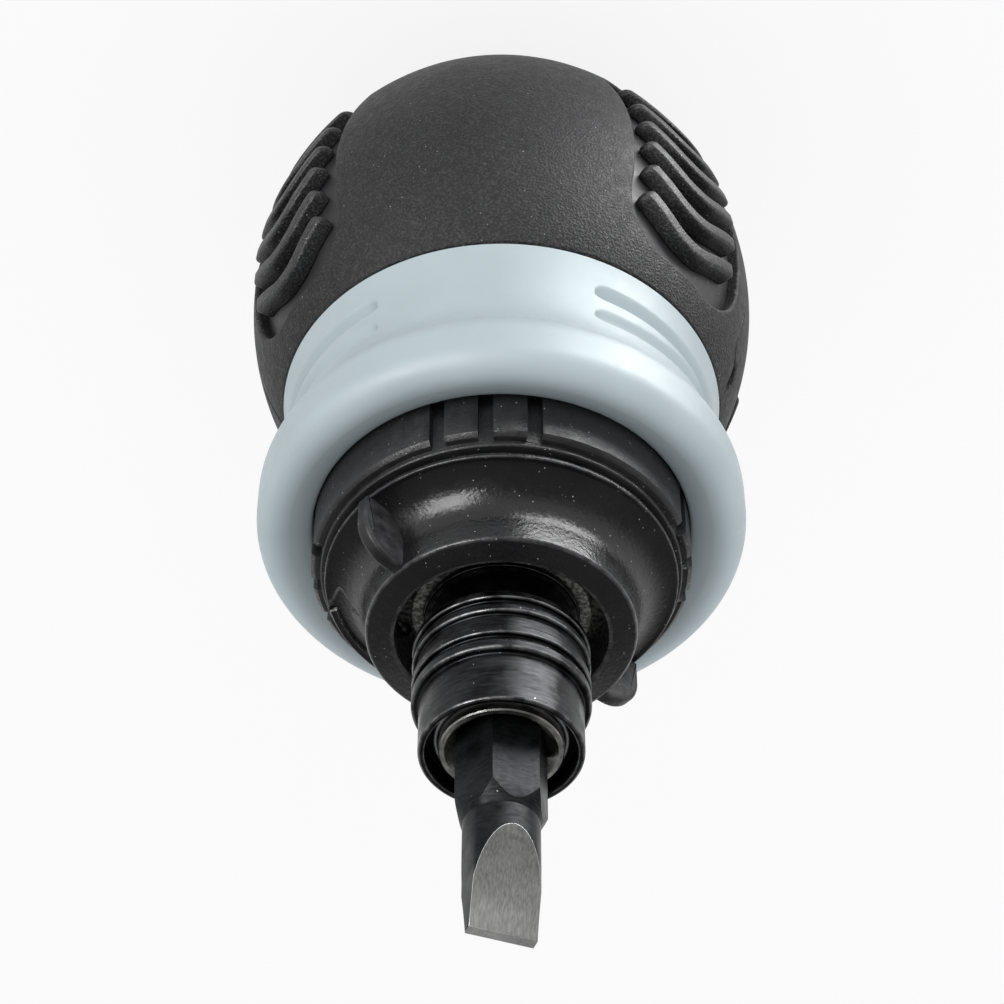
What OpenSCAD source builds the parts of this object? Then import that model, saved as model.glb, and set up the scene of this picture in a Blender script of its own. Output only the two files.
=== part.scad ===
// Stubby ratcheting screwdriver, standing on its end cap with the bit upwards.
// The tool's axis is Z and the foot of the cap lies at z = 0.
// The tool's upper side, as it is held, faces -Y.

/* [Bit] */
// Width across the flats of the hex shank
hex_af = 6.35; // [5.5:0.05:7]
// Overall length of the fitted bit
bit_l = 29.4; // [27:0.1:31]
// Reach of the blade's tip beyond the sleeve's rim
tip_reach = 17; // [15.5:0.1:18]
// Diameter of the turned round neck
neck_d = 6.05; // [5.2:0.05:6.3]
// Distance from the tip to the end of the hex shank
neck_l = 10.1; // [9.4:0.1:12]
// Width of the blade at its tip
blade_w = 5.4; // [4:0.1:5.6]
// Thickness of the blade at its tip
blade_t = 0.9; // [0.6:0.05:1.4]
// Length of the hollow-ground faces
grind_l = 8.1; // [6:0.1:9]
// Length over which the neck's sides draw in to the blade's width
draw_in_l = 3; // [1:0.1:6]
// Radius of the wheel that ground the faces
grind_wheel_r = 32; // [20:1:80]
// Clock angle that the blade's flat faces, seen from the tip
bit_turn = 24.6; // [0:0.1:60]

/* [Bit holder] */
// Radius of the holder's nose
holder_r = 4.75; // [4.4:0.05:4.8]
// Play between the hex shank and its socket, across the flats
socket_play = 0.1; // [0.06:0.02:0.2]
// Depth of the countersink at the socket's mouth
mouth_chamfer = 1.1; // [0.5:0.05:1.5]
// Setback of the holder's nose from the sleeve's rim
nose_inset = 0.3; // [0.1:0.05:1]
// Radius of the spindle's bearing neck
neck_r = 5.5; // [5.2:0.05:5.7]
// Radius of the rear journal
journal_r = 4.2; // [3.6:0.05:4.4]
// Width across the flats of the gear's seat
gear_seat_af = 9; // [8.4:0.1:9.4]
// Diameter of the bit magnet
magnet_d = 6; // [5:0.1:6.2]
// Thickness of the bit magnet
magnet_t = 3; // [2:0.1:4]
// Radius of the bit's detent ball
detent_ball_r = 0.875; // [0.8:0.005:0.9]

/* [Release sleeve] */
// Length of the quick-release sleeve
sleeve_l = 10.6; // [10.4:0.1:11]
// Outer radius of the sleeve's plain front barrel
sleeve_r = 6.3; // [6.1:0.05:6.5]
// Outer radius of the sleeve's ribbed collar
sleeve_grip_r = 6.9; // [6.6:0.05:7]
// Length of the plain front barrel
sleeve_barrel_l = 4.6; // [4.2:0.1:4.8]
// Depth of the grooves round the collar
sleeve_groove_d = 0.42; // [0.2:0.02:0.48]
// Bore of the sleeve's mouth, as a radius
sleeve_mouth_r = 5.77; // [5.5:0.01:5.9]
// Travel of the sleeve towards the handle
sleeve_travel = 3.2; // [2.9:0.05:3.3]
// Wire radius of the sleeve's snap ring
snap_wire_r = 0.28; // [0.2:0.01:0.3]
// Distance of the snap ring behind the sleeve's rim
snap_back = 1.5; // [1.2:0.05:1.6]
// Wire radius of the sleeve's spring
sleeve_wire_r = 0.15; // [0.12:0.01:0.16]
// Curls in the sleeve's spring
sleeve_turns = 4; // [3:1:5]

/* [Selector] */
// Height of the selector ring in front of the lock ring
selector_h = 5.9; // [5.6:0.1:6.4]
// Radius of the hole in the selector's front
selector_hole_r = 8.34; // [7.9:0.02:8.8]
// Radius of the selector's flat front face
selector_face_r = 10.65; // [10.3:0.05:11]
// Radius of the selector's flared rim
selector_rim_r = 14.05; // [13.7:0.05:14.3]
// Radius of the cove between the face and the rim
cove_r = 3.45; // [3:0.05:3.6]
// Thickness of the rim's edge
rim_t = 0.35; // [0.25:0.05:0.6]
// Thickness of the two finger ears
ear_t = 1.8; // [1.4:0.1:3]
// Reach of the ears from the axis
ear_r = 14.35; // [13.8:0.05:14.6]
// Corner radius of the ears
ear_corner_r = 3.3; // [2:0.1:3.6]
// Clock angle of the upper ear
ear_angle = -45.1; // [-90:0.1:0]
// Angle between the forward and the reverse setting
selector_throw = 28; // [20:1:28]
// Depth of the nose behind the selector's front face
nose_back = 2.2; // [1.8:0.1:2.6]

/* [Ratchet] */
// Number of teeth on the ratchet gear
gear_teeth = 24; // [12:12:24]
// Radius over the gear's teeth
gear_tip_r = 7.6; // [7.3:0.05:7.65]
// Depth of the gear's teeth
tooth_d = 1; // [0.7:0.05:1.1]
// Thickness of the gear
gear_t = 5.2; // [4.6:0.1:5.6]
// Radius of the pawls' pivot circle
pivot_r = 9.6; // [9.5:0.05:9.7]
// Angle from a pawl's pivot to its nose
pawl_span = 42; // [40:1:44]
// Angle from a pawl's pivot to the tip of its tail
tail_span = 38; // [38:1:40]
// Angle by which the selector lifts a pawl
pawl_lift = 10; // [9.5:0.5:11]
// Radius of the pawl pins
pin_r = 0.8; // [0.6:0.05:0.9]
// Outer radius of the die-cast ratchet housing
housing_r = 11.4; // [11.3:0.05:11.5]
// Radius of the housing's nose
nose_r = 7.1; // [6.9:0.05:7.2]
// Thickness of the housing's front plate
plate_t = 1.5; // [1.2:0.1:1.8]
// Thickness of the base plate
base_t = 2.4; // [2:0.1:2.8]
// Length of the base plate's bearing boss
boss_l = 2.8; // [2.4:0.1:3]
// Radius of the housing screws' shanks
screw_r = 1; // [0.8:0.05:1.05]

/* [Lock ring and collar] */
// Height of the lock ring that stands in front of the collar
lock_reveal = 4.6; // [4.2:0.1:5]
// Overall length of the lock ring
lock_l = 15.4; // [14.8:0.1:16]
// Radius of the lock ring's ledge
lock_ledge_r = 14.4; // [14.2:0.05:14.6]
// Radius over the lock ring's blocks
lock_block_r = 15.2; // [15:0.05:15.4]
// Width of a short block, as an angle
block_angle = 10; // [7:0.5:11]
// Width of the slots between the blocks, as an angle
slot_angle = 4.5; // [3:0.5:6]
// Length of the guard collar
collar_l = 15; // [14.6:0.1:15.4]
// Largest radius of the guard collar
collar_r = 19.8; // [19.4:0.05:20.4]
// Section radius of the guard collar's bulge
bulge_r = 3; // [2.8:0.05:3.2]
// Radius of the guard collar's waist
waist_r = 17.4; // [17:0.05:17.7]
// Radius of the fillet between waist and bulge
waist_fillet_r = 3.5; // [3:0.1:4]
// Width of the finger grooves in the collar
finger_groove_w = 1.3; // [0.8:0.05:1.6]
// Depth of the finger grooves
finger_groove_d = 0.45; // [0.2:0.05:0.7]

/* [Handle] */
// Length of the black handle with its cap
grip_l = 36.8; // [36.4:0.1:37.4]
// Largest radius of the handle
grip_r = 21.72; // [21.4:0.02:22.2]
// Radius of the handle's barrel curve
barrel_r = 27.5; // [27:0.1:29]
// Height of the widest point above the foot
belly_z = 23.7; // [23.2:0.1:24.2]
// Thickness of the rubber shells
shell_t = 1.6; // [1.2:0.05:1.9]
// Gap along the seam between the rubber shells
seam_gap = 0.2; // [0.1:0.05:0.4]
// Length of the small pry notch on the seam
notch_l = 2; // [1:0.1:3]
// Half width of the pry notch
notch_r = 0.45; // [0.3:0.05:0.6]
// Clock angle of the upper windows
window_angle = 54.6; // [52:0.2:57]
// Width of a window
window_w = 14.8; // [13.8:0.1:15.4]
// Distance of a window above the cap
window_rise = 3.2; // [2.6:0.1:3.6]
// Distance of a window behind the handle's front edge
window_back = 2.4; // [2:0.1:3]
// Corner radius of a window
window_corner_r = 5; // [3:0.1:6]
// Clear space under the last rib of a window
rib_tail = 6.2; // [5:0.1:6.4]
// Spacing of the ribs
rib_pitch = 3.25; // [3:0.05:3.3]
// Width of a rib
rib_w = 1.5; // [1.1:0.05:1.9]
// Height of the ribs above the rubber shells
rib_proud = 0.3; // [0:0.05:0.5]
// Slope of a rib's two arms
rib_slope = 29; // [15:1:35]
// Radius of the bend in the middle of a rib
rib_bend_r = 5; // [3:0.1:7]
// Length of a rib's straight arm
rib_arm_l = 3.5; // [2.5:0.1:3.8]

/* [Bit store] */
// Height of the end cap
cap_h = 5.2; // [4.8:0.1:5.6]
// Radius of the bore in the handle for the bit magazine
chamber_r = 12; // [11.9:0.05:12.2]
// Radius of the magazine
magazine_r = 11.3; // [11.2:0.05:11.5]
// Height of the magazine above the cap
magazine_l = 30.6; // [29:0.1:31]
// Radius of the circle on which the spare bits stand
store_r = 8; // [7.95:0.01:8.05]
// Length of a spare bit
spare_l = 25; // [22:0.5:26]

/* [Hidden] */
$fn = 64;

// Overrun of every cut
over = 1;
// Radial play of running fits, seated fits and free play along the axis
run_fit = 0.06;
seat_fit = 0.03;
end_play = 0.15;
small_play = 0.1;

// Heights above the foot, from the handle to the tip
collar_front_z = grip_l + collar_l;
lock_front_z = collar_front_z + lock_reveal;
selector_gap = 0.4;
selector_rear_z = lock_front_z + selector_gap;
selector_front_z = selector_rear_z + selector_h;
shoulder_reveal = 1.1;
shoulder_z = selector_front_z + shoulder_reveal;
sleeve_gap = 0.6;
sleeve_rear_z = shoulder_z + sleeve_gap;
rim_z = sleeve_rear_z + sleeve_l;
nose_z = rim_z - nose_inset;
tip_z = rim_z + tip_reach;

// Stack of the ratchet, from the housing's front plate down to the core
plate_lead = 0.5;
plate_top_z = selector_rear_z + plate_lead;
plate_bot_z = plate_top_z - plate_t;
housing_nose_z = selector_front_z - nose_back;
gear_top_z = plate_bot_z - small_play;
gear_bot_z = gear_top_z - gear_t;
washer_t = 0.5;
washer_bot_z = gear_bot_z - washer_t;
base_top_z = washer_bot_z - small_play;
base_bot_z = base_top_z - base_t;
boss_bot_z = base_bot_z - boss_l;
circlip_t = 0.7;
circlip_top_z = boss_bot_z - small_play;
circlip_bot_z = circlip_top_z - circlip_t;
circlip_groove_d = 0.45;
circlip_root_r = journal_r - circlip_groove_d;
spindle_tail = 0.7;
spindle_bot_z = circlip_bot_z - spindle_tail;
tail_room = 0.5;
pocket_bot_z = spindle_bot_z - tail_room;

// Sizes of the bit and its socket
hex_r = hex_af / 2 / cos(30);
socket_af = hex_af + socket_play;
socket_r = socket_af / 2 / cos(30);
bit_bot_z = tip_z - bit_l;
hex_top_z = tip_z - neck_l;
neck_taper_l = 1.75;
magnet_top_z = bit_bot_z - small_play;
magnet_bot_z = magnet_top_z - magnet_t;
mouth_r = socket_r + mouth_chamfer * 0.55;

// Inside of the release sleeve
snap_z = rim_z - snap_back;
snap_ring_r = holder_r + snap_wire_r - small_play / 2;
land_front_z = snap_z - snap_wire_r - seat_fit;
release_over = 0.325;
ball_back = sleeve_travel - detent_ball_r - release_over;
ball_z = land_front_z - ball_back;
ball_centre_r = socket_af / 2 + detent_ball_r + seat_fit;
ball_out_r = ball_centre_r + detent_ball_r;
land_r = ball_out_r + seat_fit;
land_l = 3.8;
guide_l = 0.8;
guide_r = holder_r + run_fit;
guide_top_z = land_front_z - land_l;
guide_bot_z = guide_top_z - guide_l;
spring_room_r = neck_r + 0.45 * (sleeve_grip_r - sleeve_groove_d - neck_r);
spring_mean_r = (holder_r + spring_room_r) / 2;
spring_rest_l = guide_bot_z - shoulder_z;

// Radii of the selector's cam ring and of what surrounds it
cam_bore_r = housing_r + run_fit;
cam_wall = 1.1;
skirt_r = cam_bore_r + cam_wall;
skirt_play = 0.17;
lock_bore_r = skirt_r + skirt_play;
base_r = lock_bore_r - seat_fit;
boss_r = 6.6;
joint_z = plate_bot_z - end_play;
cam_bot_z = base_top_z + end_play;
web_face_z = plate_top_z + end_play;
web_inner_r = selector_hole_r + (cam_bore_r - selector_hole_r) * 0.28;
hole_l = 1.5;
key_l = 0.7;
key_angle = 12;

// Layout of the ratchet round the axis, as plain angles from +X
nose_angle = 60;
pivot_angle = nose_angle + pawl_span;
tail_angle = pivot_angle + tail_span;
tail_tip_r = 0.55;
tail_gap = 0.4;
tail_circle_r = cam_bore_r - tail_tip_r - tail_gap;
cam_play = 0.12;
hub_r = 1.45;
pawl_gap = 0.2;
pawl_bot_z = base_top_z + pawl_gap;
pawl_top_z = plate_bot_z - 1.9 * pin_r - pawl_gap;
arm_gap = 0.3;
arm_in_r = gear_tip_r + arm_gap;
arm_w = 1.6;
pawl_spring_wire_r = 0.16;
pivot_at = [pivot_r * cos(pivot_angle), pivot_r * sin(pivot_angle)];
tail_at = [tail_circle_r * cos(tail_angle), tail_circle_r * sin(tail_angle)];
wall_angle = 50;
wall_gap_angle = 3;
wall_t = 1.1;
post_wall = 0.75;
post_r = screw_r + post_wall;
wall_out_r = housing_r - small_play / 2;
rim_inset = 0.15;
post_circle_r = housing_r - post_r - rim_inset;
screw_head_r = screw_r * 1.7;
screw_head_h = screw_head_r - screw_r;
screw_end = 3.4;
screw_bot_z = base_bot_z - screw_end;

// Friction ball of the selector
sel_ball_r = 1;
sel_ball_angle = 26;
ball_wall = 0.65;
sel_boss_r = sel_ball_r + ball_wall;
sel_ball_circle_r = housing_r - sel_boss_r - rim_inset;
sel_ball_out = 0.35;
sel_ball_z = plate_top_z + sel_ball_out - sel_ball_r;
sel_hole_l = 4.6;
sel_hole_bot_z = plate_top_z - sel_hole_l;
sel_floor_t = 0.7;
sel_wire_r = 0.14;

// Distance from the axis back to the centre of the barrel curve
barrel_back = barrel_r - grip_r;

// Lock ring and guard collar
lock_bot_z = lock_front_z - lock_l;
block_step = 0.5;
block_top_z = lock_front_z - block_step;
block_sink = 1;
block_root_z = collar_front_z - block_sink;
block_chamfer = 0.35;
collar_bore_r = lock_block_r + seat_fit;
bulge_z = collar_front_z - bulge_r;
bulge_at_r = collar_r - bulge_r;
fillet_at_r = waist_r + waist_fillet_r;
fillet_z = bulge_z - sqrt(pow(bulge_r + waist_fillet_r, 2) - pow(fillet_at_r - bulge_at_r, 2));
tangent_share = bulge_r / (bulge_r + waist_fillet_r);
tangent_r = bulge_at_r + tangent_share * (fillet_at_r - bulge_at_r);
tangent_z = bulge_z - tangent_share * (bulge_z - fillet_z);
collar_rear_r = barrel(grip_l) + seat_fit;
flare_h = fillet_z - grip_l;
flare_out = collar_rear_r - waist_r;
flare_r = (flare_h * flare_h + flare_out * flare_out) / (2 * flare_out);
finger_up = 2.2;
finger_pitch = 2.9;
finger_rows = [grip_l + finger_up, grip_l + finger_up + finger_pitch];
finger_from = 30;
finger_to = 80;

// Handle
core_r = lock_block_r;
window_top_z = grip_l - window_back;
window_l = window_top_z - cap_h - window_rise;
window_mid_z = window_top_z - window_l / 2;
rib_lead = 3;
rib_top_z = window_top_z - rib_lead;
rib_count = floor((window_l - rib_lead - rib_tail) / rib_pitch) + 1;
notch_back = 2.3;
notch_z = grip_l - notch_back;
spare_count = 6;
store_play = 0.13;
store_hole_r = hex_r + store_play;
magazine_top_z = cap_h + magazine_l;
chamber_room = 2.7;
chamber_top_z = magazine_top_z + chamber_room;
store_floor_t = 2;
store_floor_z = cap_h + store_floor_t;
seal_wire_r = 0.6;
seal_up = 1;
seal_z = cap_h + seal_up;
seal_at_r = chamber_r - seal_wire_r - seat_fit;
cap_stem_l = 2;

// Radius of the handle's barrel at a height
function barrel(z) = sqrt(pow(barrel_r, 2) - pow(z - belly_z, 2)) - barrel_back;

// Point at a radius and a plain angle
function polar(r, a) = r * [cos(a), sin(a)];

// Unit vector along v
function unit(v) = v / norm(v);

// Position of a pawl's tail tip when the pawl is lifted by an angle
function tail_lifted(lift) = pivot_at + [
    cos(lift) * (tail_at - pivot_at)[0] - sin(lift) * (tail_at - pivot_at)[1],
    sin(lift) * (tail_at - pivot_at)[0] + cos(lift) * (tail_at - pivot_at)[1]];

// Points of a coil of the given turns, running up from z = 0
function coil_path(r, rise, turns) =
    [for (i = [0 : turns * 8]) [r * cos(i * 45), r * sin(i * 45), rise * i / (turns * 8)]];

// Turns its children from the +X side to a clock angle, where 0 is the tool's upper side
module facing(clock) {
    rotate([0, 0, -90 - clock]) children();
}

// Flat sector between two plain angles
module sector(r, from, to) {
    steps = ceil((to - from) / 15);
    polygon(concat([[0, 0]], [for (i = [0 : steps]) polar(r, from + (to - from) * i / steps)]));
}

// Hexagonal bar along Z with two of its flats square to X
module hex_bar(af, l) {
    rotate([0, 0, 30]) cylinder(h = l, r = af / 2 / cos(30), $fn = 6);
}

// Wire of six sides swept along a path
module wire(path, r) {
    last = len(path) - 1;
    sides = 6;
    rings = [for (i = [0 : last])
        let (t = unit(path[min(i + 1, last)] - path[max(i - 1, 0)]),
             n = unit(cross(t, [0, 0, 1])),
             b = cross(n, t))
        for (j = [0 : sides - 1]) path[i] + r * (cos(j * 60) * n + sin(j * 60) * b)];
    walls = [for (i = [0 : last - 1]) for (j = [0 : sides - 1]) for (k = [0, 1])
        let (a = i * sides + j, b = i * sides + (j + 1) % sides, c = a + sides, d = b + sides)
        k == 0 ? [a, b, d] : [a, d, c]];
    ends = [for (j = [1 : sides - 2]) for (k = [0, 1])
        k == 0 ? [0, j + 1, j] : [last * sides, last * sides + j, last * sides + j + 1]];
    polyhedron(points = rings, faces = concat(walls, ends), convexity = 10);
}

// Fitted slotted bit: hex shank, turned neck and two hollow-ground faces
module driver_bit() {
    color([0.2, 0.2, 0.22])
        facing(bit_turn) difference() {
            intersection() {
                translate([0, 0, bit_bot_z]) hex_bar(hex_af, bit_l);
                rotate_extrude() bit_profile();
                blade_taper();
            }
            for (side = [0, 180]) rotate([0, 0, side]) grinding_wheel();
        }
}

// Turned outline that takes the hex down to the round neck
module bit_profile() {
    foot_chamfer = (hex_r - hex_af / 2) * 1.3;
    polygon([
        [0, bit_bot_z],
        [hex_r - foot_chamfer, bit_bot_z],
        [hex_r, bit_bot_z + foot_chamfer],
        [hex_r, hex_top_z - neck_taper_l],
        [neck_d / 2, hex_top_z],
        [neck_d / 2, tip_z],
        [0, tip_z]]);
}

// Draws the neck's sides in to the parallel sides of the blade
module blade_taper() {
    half_w = hex_r + over;
    taper_z = tip_z - grind_l;
    narrow_z = taper_z + draw_in_l;
    rotate([90, 0, 90])
        linear_extrude(height = 2 * half_w, center = true)
            polygon([
                [-half_w, bit_bot_z - over],
                [half_w, bit_bot_z - over],
                [half_w, taper_z - grind_l],
                [neck_d / 2, taper_z],
                [blade_w / 2, narrow_z],
                [blade_w / 2, tip_z],
                [-blade_w / 2, tip_z],
                [-blade_w / 2, narrow_z],
                [-neck_d / 2, taper_z],
                [-half_w, taper_z - grind_l]]);
}

// Round cut of one ground face, tangent near the tip
module grinding_wheel() {
    drop = neck_d / 2 - blade_t / 2;
    chord = sqrt(drop * drop + grind_l * grind_l);
    lean = atan(drop / grind_l);
    reach = sqrt(grind_wheel_r * grind_wheel_r - chord * chord / 4);
    mid = [(neck_d / 2 + blade_t / 2) / 2, tip_z - grind_l / 2];
    translate([mid[0] + reach * cos(lean), 0, mid[1] + reach * sin(lean)])
        rotate([90, 0, 0])
            cylinder(h = 2 * hex_r + 2 * over, r = grind_wheel_r, center = true, $fn = 96);
}

// Spindle with the hex socket at its nose, the bearing neck, the gear's seat and the journal
module bit_holder() {
    groove_r = snap_wire_r + seat_fit;
    color([0.68, 0.68, 0.66]) difference() {
        union() {
            rotate_extrude() polygon([
                [0, gear_top_z],
                [neck_r, gear_top_z],
                [neck_r, shoulder_z],
                [holder_r, shoulder_z],
                [holder_r, nose_z - small_play],
                [holder_r - small_play, nose_z],
                [0, nose_z]]);
            translate([0, 0, gear_bot_z]) hex_bar(gear_seat_af, gear_t + small_play);
            translate([0, 0, spindle_bot_z])
                cylinder(h = gear_bot_z - spindle_bot_z + small_play, r = journal_r);
        }
        facing(bit_turn) translate([0, 0, bit_bot_z]) hex_bar(socket_af, nose_z - bit_bot_z + over);
        translate([0, 0, magnet_bot_z])
            cylinder(h = bit_bot_z - magnet_bot_z + small_play, r = magnet_d / 2 + seat_fit);
        translate([0, 0, nose_z - mouth_chamfer])
            cylinder(h = mouth_chamfer + seat_fit, r1 = socket_r - mouth_chamfer * 0.45, r2 = mouth_r);
        rotate_extrude() translate([snap_ring_r, snap_z]) circle(r = groove_r);
        facing(bit_turn + 180) translate([0, 0, ball_z]) rotate([0, 90, 0])
            cylinder(h = holder_r + over, r = detent_ball_r + seat_fit, $fn = 32);
        translate([0, 0, circlip_bot_z - seat_fit]) difference() {
            cylinder(h = circlip_t + 2 * seat_fit, r = journal_r + over);
            translate([0, 0, -over]) cylinder(h = circlip_t + 2 * over, r = circlip_root_r);
        }
    }
}

// Disc magnet at the bottom of the socket
module socket_magnet() {
    color([0.6, 0.61, 0.63])
        translate([0, 0, magnet_bot_z]) cylinder(h = magnet_t, r = magnet_d / 2, $fn = 48);
}

// Ball that the sleeve presses on a flat of the bit
module detent_ball() {
    color([0.75, 0.75, 0.77])
        facing(bit_turn + 180) translate([ball_centre_r, 0, ball_z]) sphere(r = detent_ball_r, $fn = 32);
}

// Quick-release sleeve: plain barrel, ribbed collar, ball land, guide and spring room
module release_sleeve() {
    edge = 0.22;
    grip_top_z = rim_z - sleeve_barrel_l;
    grip_h = grip_top_z - sleeve_rear_z;
    ring_shares = [0.15, 0.26, 0.4, 0.64, 0.76, 0.87];
    color([0.09, 0.09, 0.1]) difference() {
        rotate_extrude() polygon([
            [guide_r, sleeve_rear_z],
            [sleeve_grip_r - edge, sleeve_rear_z],
            [sleeve_grip_r, sleeve_rear_z + edge],
            [sleeve_grip_r, grip_top_z - edge],
            [sleeve_grip_r - edge, grip_top_z],
            [sleeve_r, grip_top_z],
            [sleeve_r, rim_z - edge],
            [sleeve_r - edge, rim_z],
            [guide_r, rim_z]]);
        for (i = [0 : 2 : len(ring_shares) - 2])
            translate([0, 0, grip_top_z - ring_shares[i + 1] * grip_h]) difference() {
                cylinder(h = (ring_shares[i + 1] - ring_shares[i]) * grip_h, r = sleeve_grip_r + over);
                translate([0, 0, -over]) cylinder(h = grip_h, r = sleeve_grip_r - sleeve_groove_d);
            }
        translate([0, 0, land_front_z])
            cylinder(h = rim_z - land_front_z + over, r = sleeve_mouth_r);
        translate([0, 0, guide_top_z])
            cylinder(h = land_front_z - guide_top_z + over, r = land_r);
        translate([0, 0, sleeve_rear_z - over])
            cylinder(h = guide_bot_z - sleeve_rear_z + over, r = spring_room_r);
    }
}

// Spring that holds the sleeve against its snap ring
module sleeve_spring() {
    rise = spring_rest_l - 2 * (sleeve_wire_r + seat_fit);
    color([0.7, 0.71, 0.73])
        translate([0, 0, shoulder_z + sleeve_wire_r + seat_fit])
            wire(coil_path(spring_mean_r, rise, sleeve_turns), sleeve_wire_r);
}

// Open wire ring that stops the sleeve
module sleeve_snap_ring() {
    color([0.8, 0.8, 0.82])
        translate([0, 0, snap_z]) rotate([0, 0, 100])
            rotate_extrude(angle = 340) translate([snap_ring_r, 0]) circle(r = snap_wire_r, $fn = 24);
}

// Ratchet gear with straight teeth on a hexagonal bore
module ratchet_gear() {
    root_r = gear_tip_r - tooth_d;
    pitch = 360 / gear_teeth;
    tip_share = 0.15;
    root_share = 0.29;
    color([0.5, 0.5, 0.52]) difference() {
        translate([0, 0, gear_bot_z]) linear_extrude(height = gear_t)
            polygon([for (i = [0 : gear_teeth - 1]) for (p = [
                [root_r, 0.5 - root_share], [gear_tip_r, 0.5 - tip_share],
                [gear_tip_r, 0.5 + tip_share], [root_r, 0.5 + root_share]])
                p[0] * [cos((i + p[1]) * pitch), sin((i + p[1]) * pitch)]]);
        translate([0, 0, gear_bot_z - over]) hex_bar(gear_seat_af + 2 * seat_fit, gear_t + 2 * over);
    }
}

// Washer between the gear and the base plate
module thrust_washer() {
    color([0.72, 0.6, 0.35])
        translate([0, 0, washer_bot_z]) difference() {
            cylinder(h = washer_t, r = gear_tip_r - tooth_d);
            translate([0, 0, -over]) cylinder(h = washer_t + 2 * over, r = journal_r + seat_fit);
        }
}

// Open clip that keeps the spindle in its bearings
module spindle_circlip() {
    clip_w = 1.1;
    clip_r = journal_r + clip_w;
    mouth = 1.6;
    color([0.35, 0.35, 0.37])
        translate([0, 0, circlip_bot_z]) difference() {
            cylinder(h = circlip_t, r = clip_r);
            translate([0, 0, -over]) cylinder(h = circlip_t + 2 * over, r = circlip_root_r + seat_fit);
            translate([0, -mouth, -over]) cube([clip_r + over, 2 * mouth, circlip_t + 2 * over]);
        }
}

// Die-cast housing: nose bearing, front plate, bearing walls, screw posts and ball boss
module gear_housing() {
    rise = plate_bot_z - base_top_z;
    boss_h = plate_bot_z - sel_hole_bot_z + sel_floor_t + small_play;
    sink_r = screw_head_r + seat_fit + 2 * small_play;
    color([0.5, 0.52, 0.54]) difference() {
        union() {
            rotate_extrude() polygon([
                [0, plate_bot_z],
                [housing_r, plate_bot_z],
                [housing_r, plate_top_z],
                [nose_r + 2 * small_play, plate_top_z],
                [nose_r, plate_top_z + 2 * small_play],
                [nose_r, housing_nose_z - small_play],
                [nose_r - small_play, housing_nose_z],
                [0, housing_nose_z]]);
            wall(-wall_angle, -asin(post_r / post_circle_r) - wall_gap_angle, rise + small_play);
            wall(sel_ball_angle + asin(sel_boss_r / sel_ball_circle_r) + wall_gap_angle, wall_angle,
                rise + small_play);
            for (a = [0, 180]) rotate([0, 0, a]) translate([post_circle_r, 0, base_top_z])
                cylinder(h = rise + small_play, r = post_r, $fn = 32);
            rotate([0, 0, sel_ball_angle]) translate([sel_ball_circle_r, 0, sel_hole_bot_z - sel_floor_t])
                cylinder(h = boss_h, r = sel_boss_r, $fn = 32);
        }
        translate([0, 0, base_top_z]) cylinder(h = housing_nose_z - base_top_z + over, r = neck_r + run_fit);
        for (a = [0, 180]) rotate([0, 0, a]) translate([post_circle_r, 0, 0]) {
            translate([0, 0, base_top_z - over])
                cylinder(h = plate_top_z - base_top_z + 2 * over, r = screw_r + seat_fit, $fn = 32);
            translate([0, 0, plate_top_z - screw_head_h - small_play])
                cylinder(h = screw_head_h + 2 * small_play, r1 = screw_r + seat_fit, r2 = sink_r, $fn = 32);
        }
        for (a = [-pivot_angle, pivot_angle]) rotate([0, 0, a]) translate([pivot_r, 0, plate_bot_z - over])
            cylinder(h = over + plate_t / 2 + seat_fit, r = pin_r + seat_fit, $fn = 32);
        rotate([0, 0, sel_ball_angle]) translate([sel_ball_circle_r, 0, sel_hole_bot_z])
            cylinder(h = sel_hole_l + over, r = sel_ball_r + seat_fit, $fn = 32);
    }
}

// One bearing wall of the housing, between two plain angles
module wall(from, to, h) {
    rotate([0, 0, from]) rotate_extrude(angle = to - from)
        translate([wall_out_r - wall_t, base_top_z]) square([wall_t, h]);
}

// Base plate with the rear bearing boss
module base_plate() {
    color([0.5, 0.52, 0.54]) difference() {
        union() {
            translate([0, 0, base_bot_z]) cylinder(h = base_t, r = base_r);
            translate([0, 0, boss_bot_z]) cylinder(h = boss_l + small_play, r = boss_r);
        }
        translate([0, 0, boss_bot_z - over]) cylinder(h = boss_l + base_t + 2 * over, r = journal_r + run_fit);
        for (a = [0, 180]) rotate([0, 0, a]) translate([post_circle_r, 0, base_bot_z - over])
            cylinder(h = base_t + 2 * over, r = screw_r + seat_fit, $fn = 32);
        for (a = [-pivot_angle, pivot_angle]) rotate([0, 0, a])
            translate([pivot_r, 0, base_top_z - base_t / 2 - seat_fit])
                cylinder(h = base_t, r = pin_r + seat_fit, $fn = 32);
    }
}

// Flat outline of the forward pawl in its engaged place
module pawl_outline() {
    root_r = gear_tip_r - tooth_d;
    nose_in_r = root_r + small_play;
    pitch = 360 / gear_teeth;
    gap_in_share = 0.12;
    gap_out_share = 0.26;
    difference() {
        union() {
            translate(pivot_at) circle(r = hub_r, $fn = 32);
            intersection() {
                difference() {
                    circle(r = arm_in_r + arm_w);
                    circle(r = arm_in_r);
                }
                sector(housing_r * 2, nose_angle - pitch * gap_out_share, pivot_angle);
            }
            polygon([
                polar(nose_in_r, nose_angle - pitch * gap_in_share),
                polar(arm_in_r + small_play, nose_angle - pitch * gap_out_share),
                polar(arm_in_r + small_play, nose_angle + pitch * gap_out_share),
                polar(nose_in_r, nose_angle + pitch * gap_in_share)]);
            bar(pivot_at, tail_at, tail_tip_r);
        }
        translate(pivot_at) circle(r = pin_r + run_fit, $fn = 32);
    }
}

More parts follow.
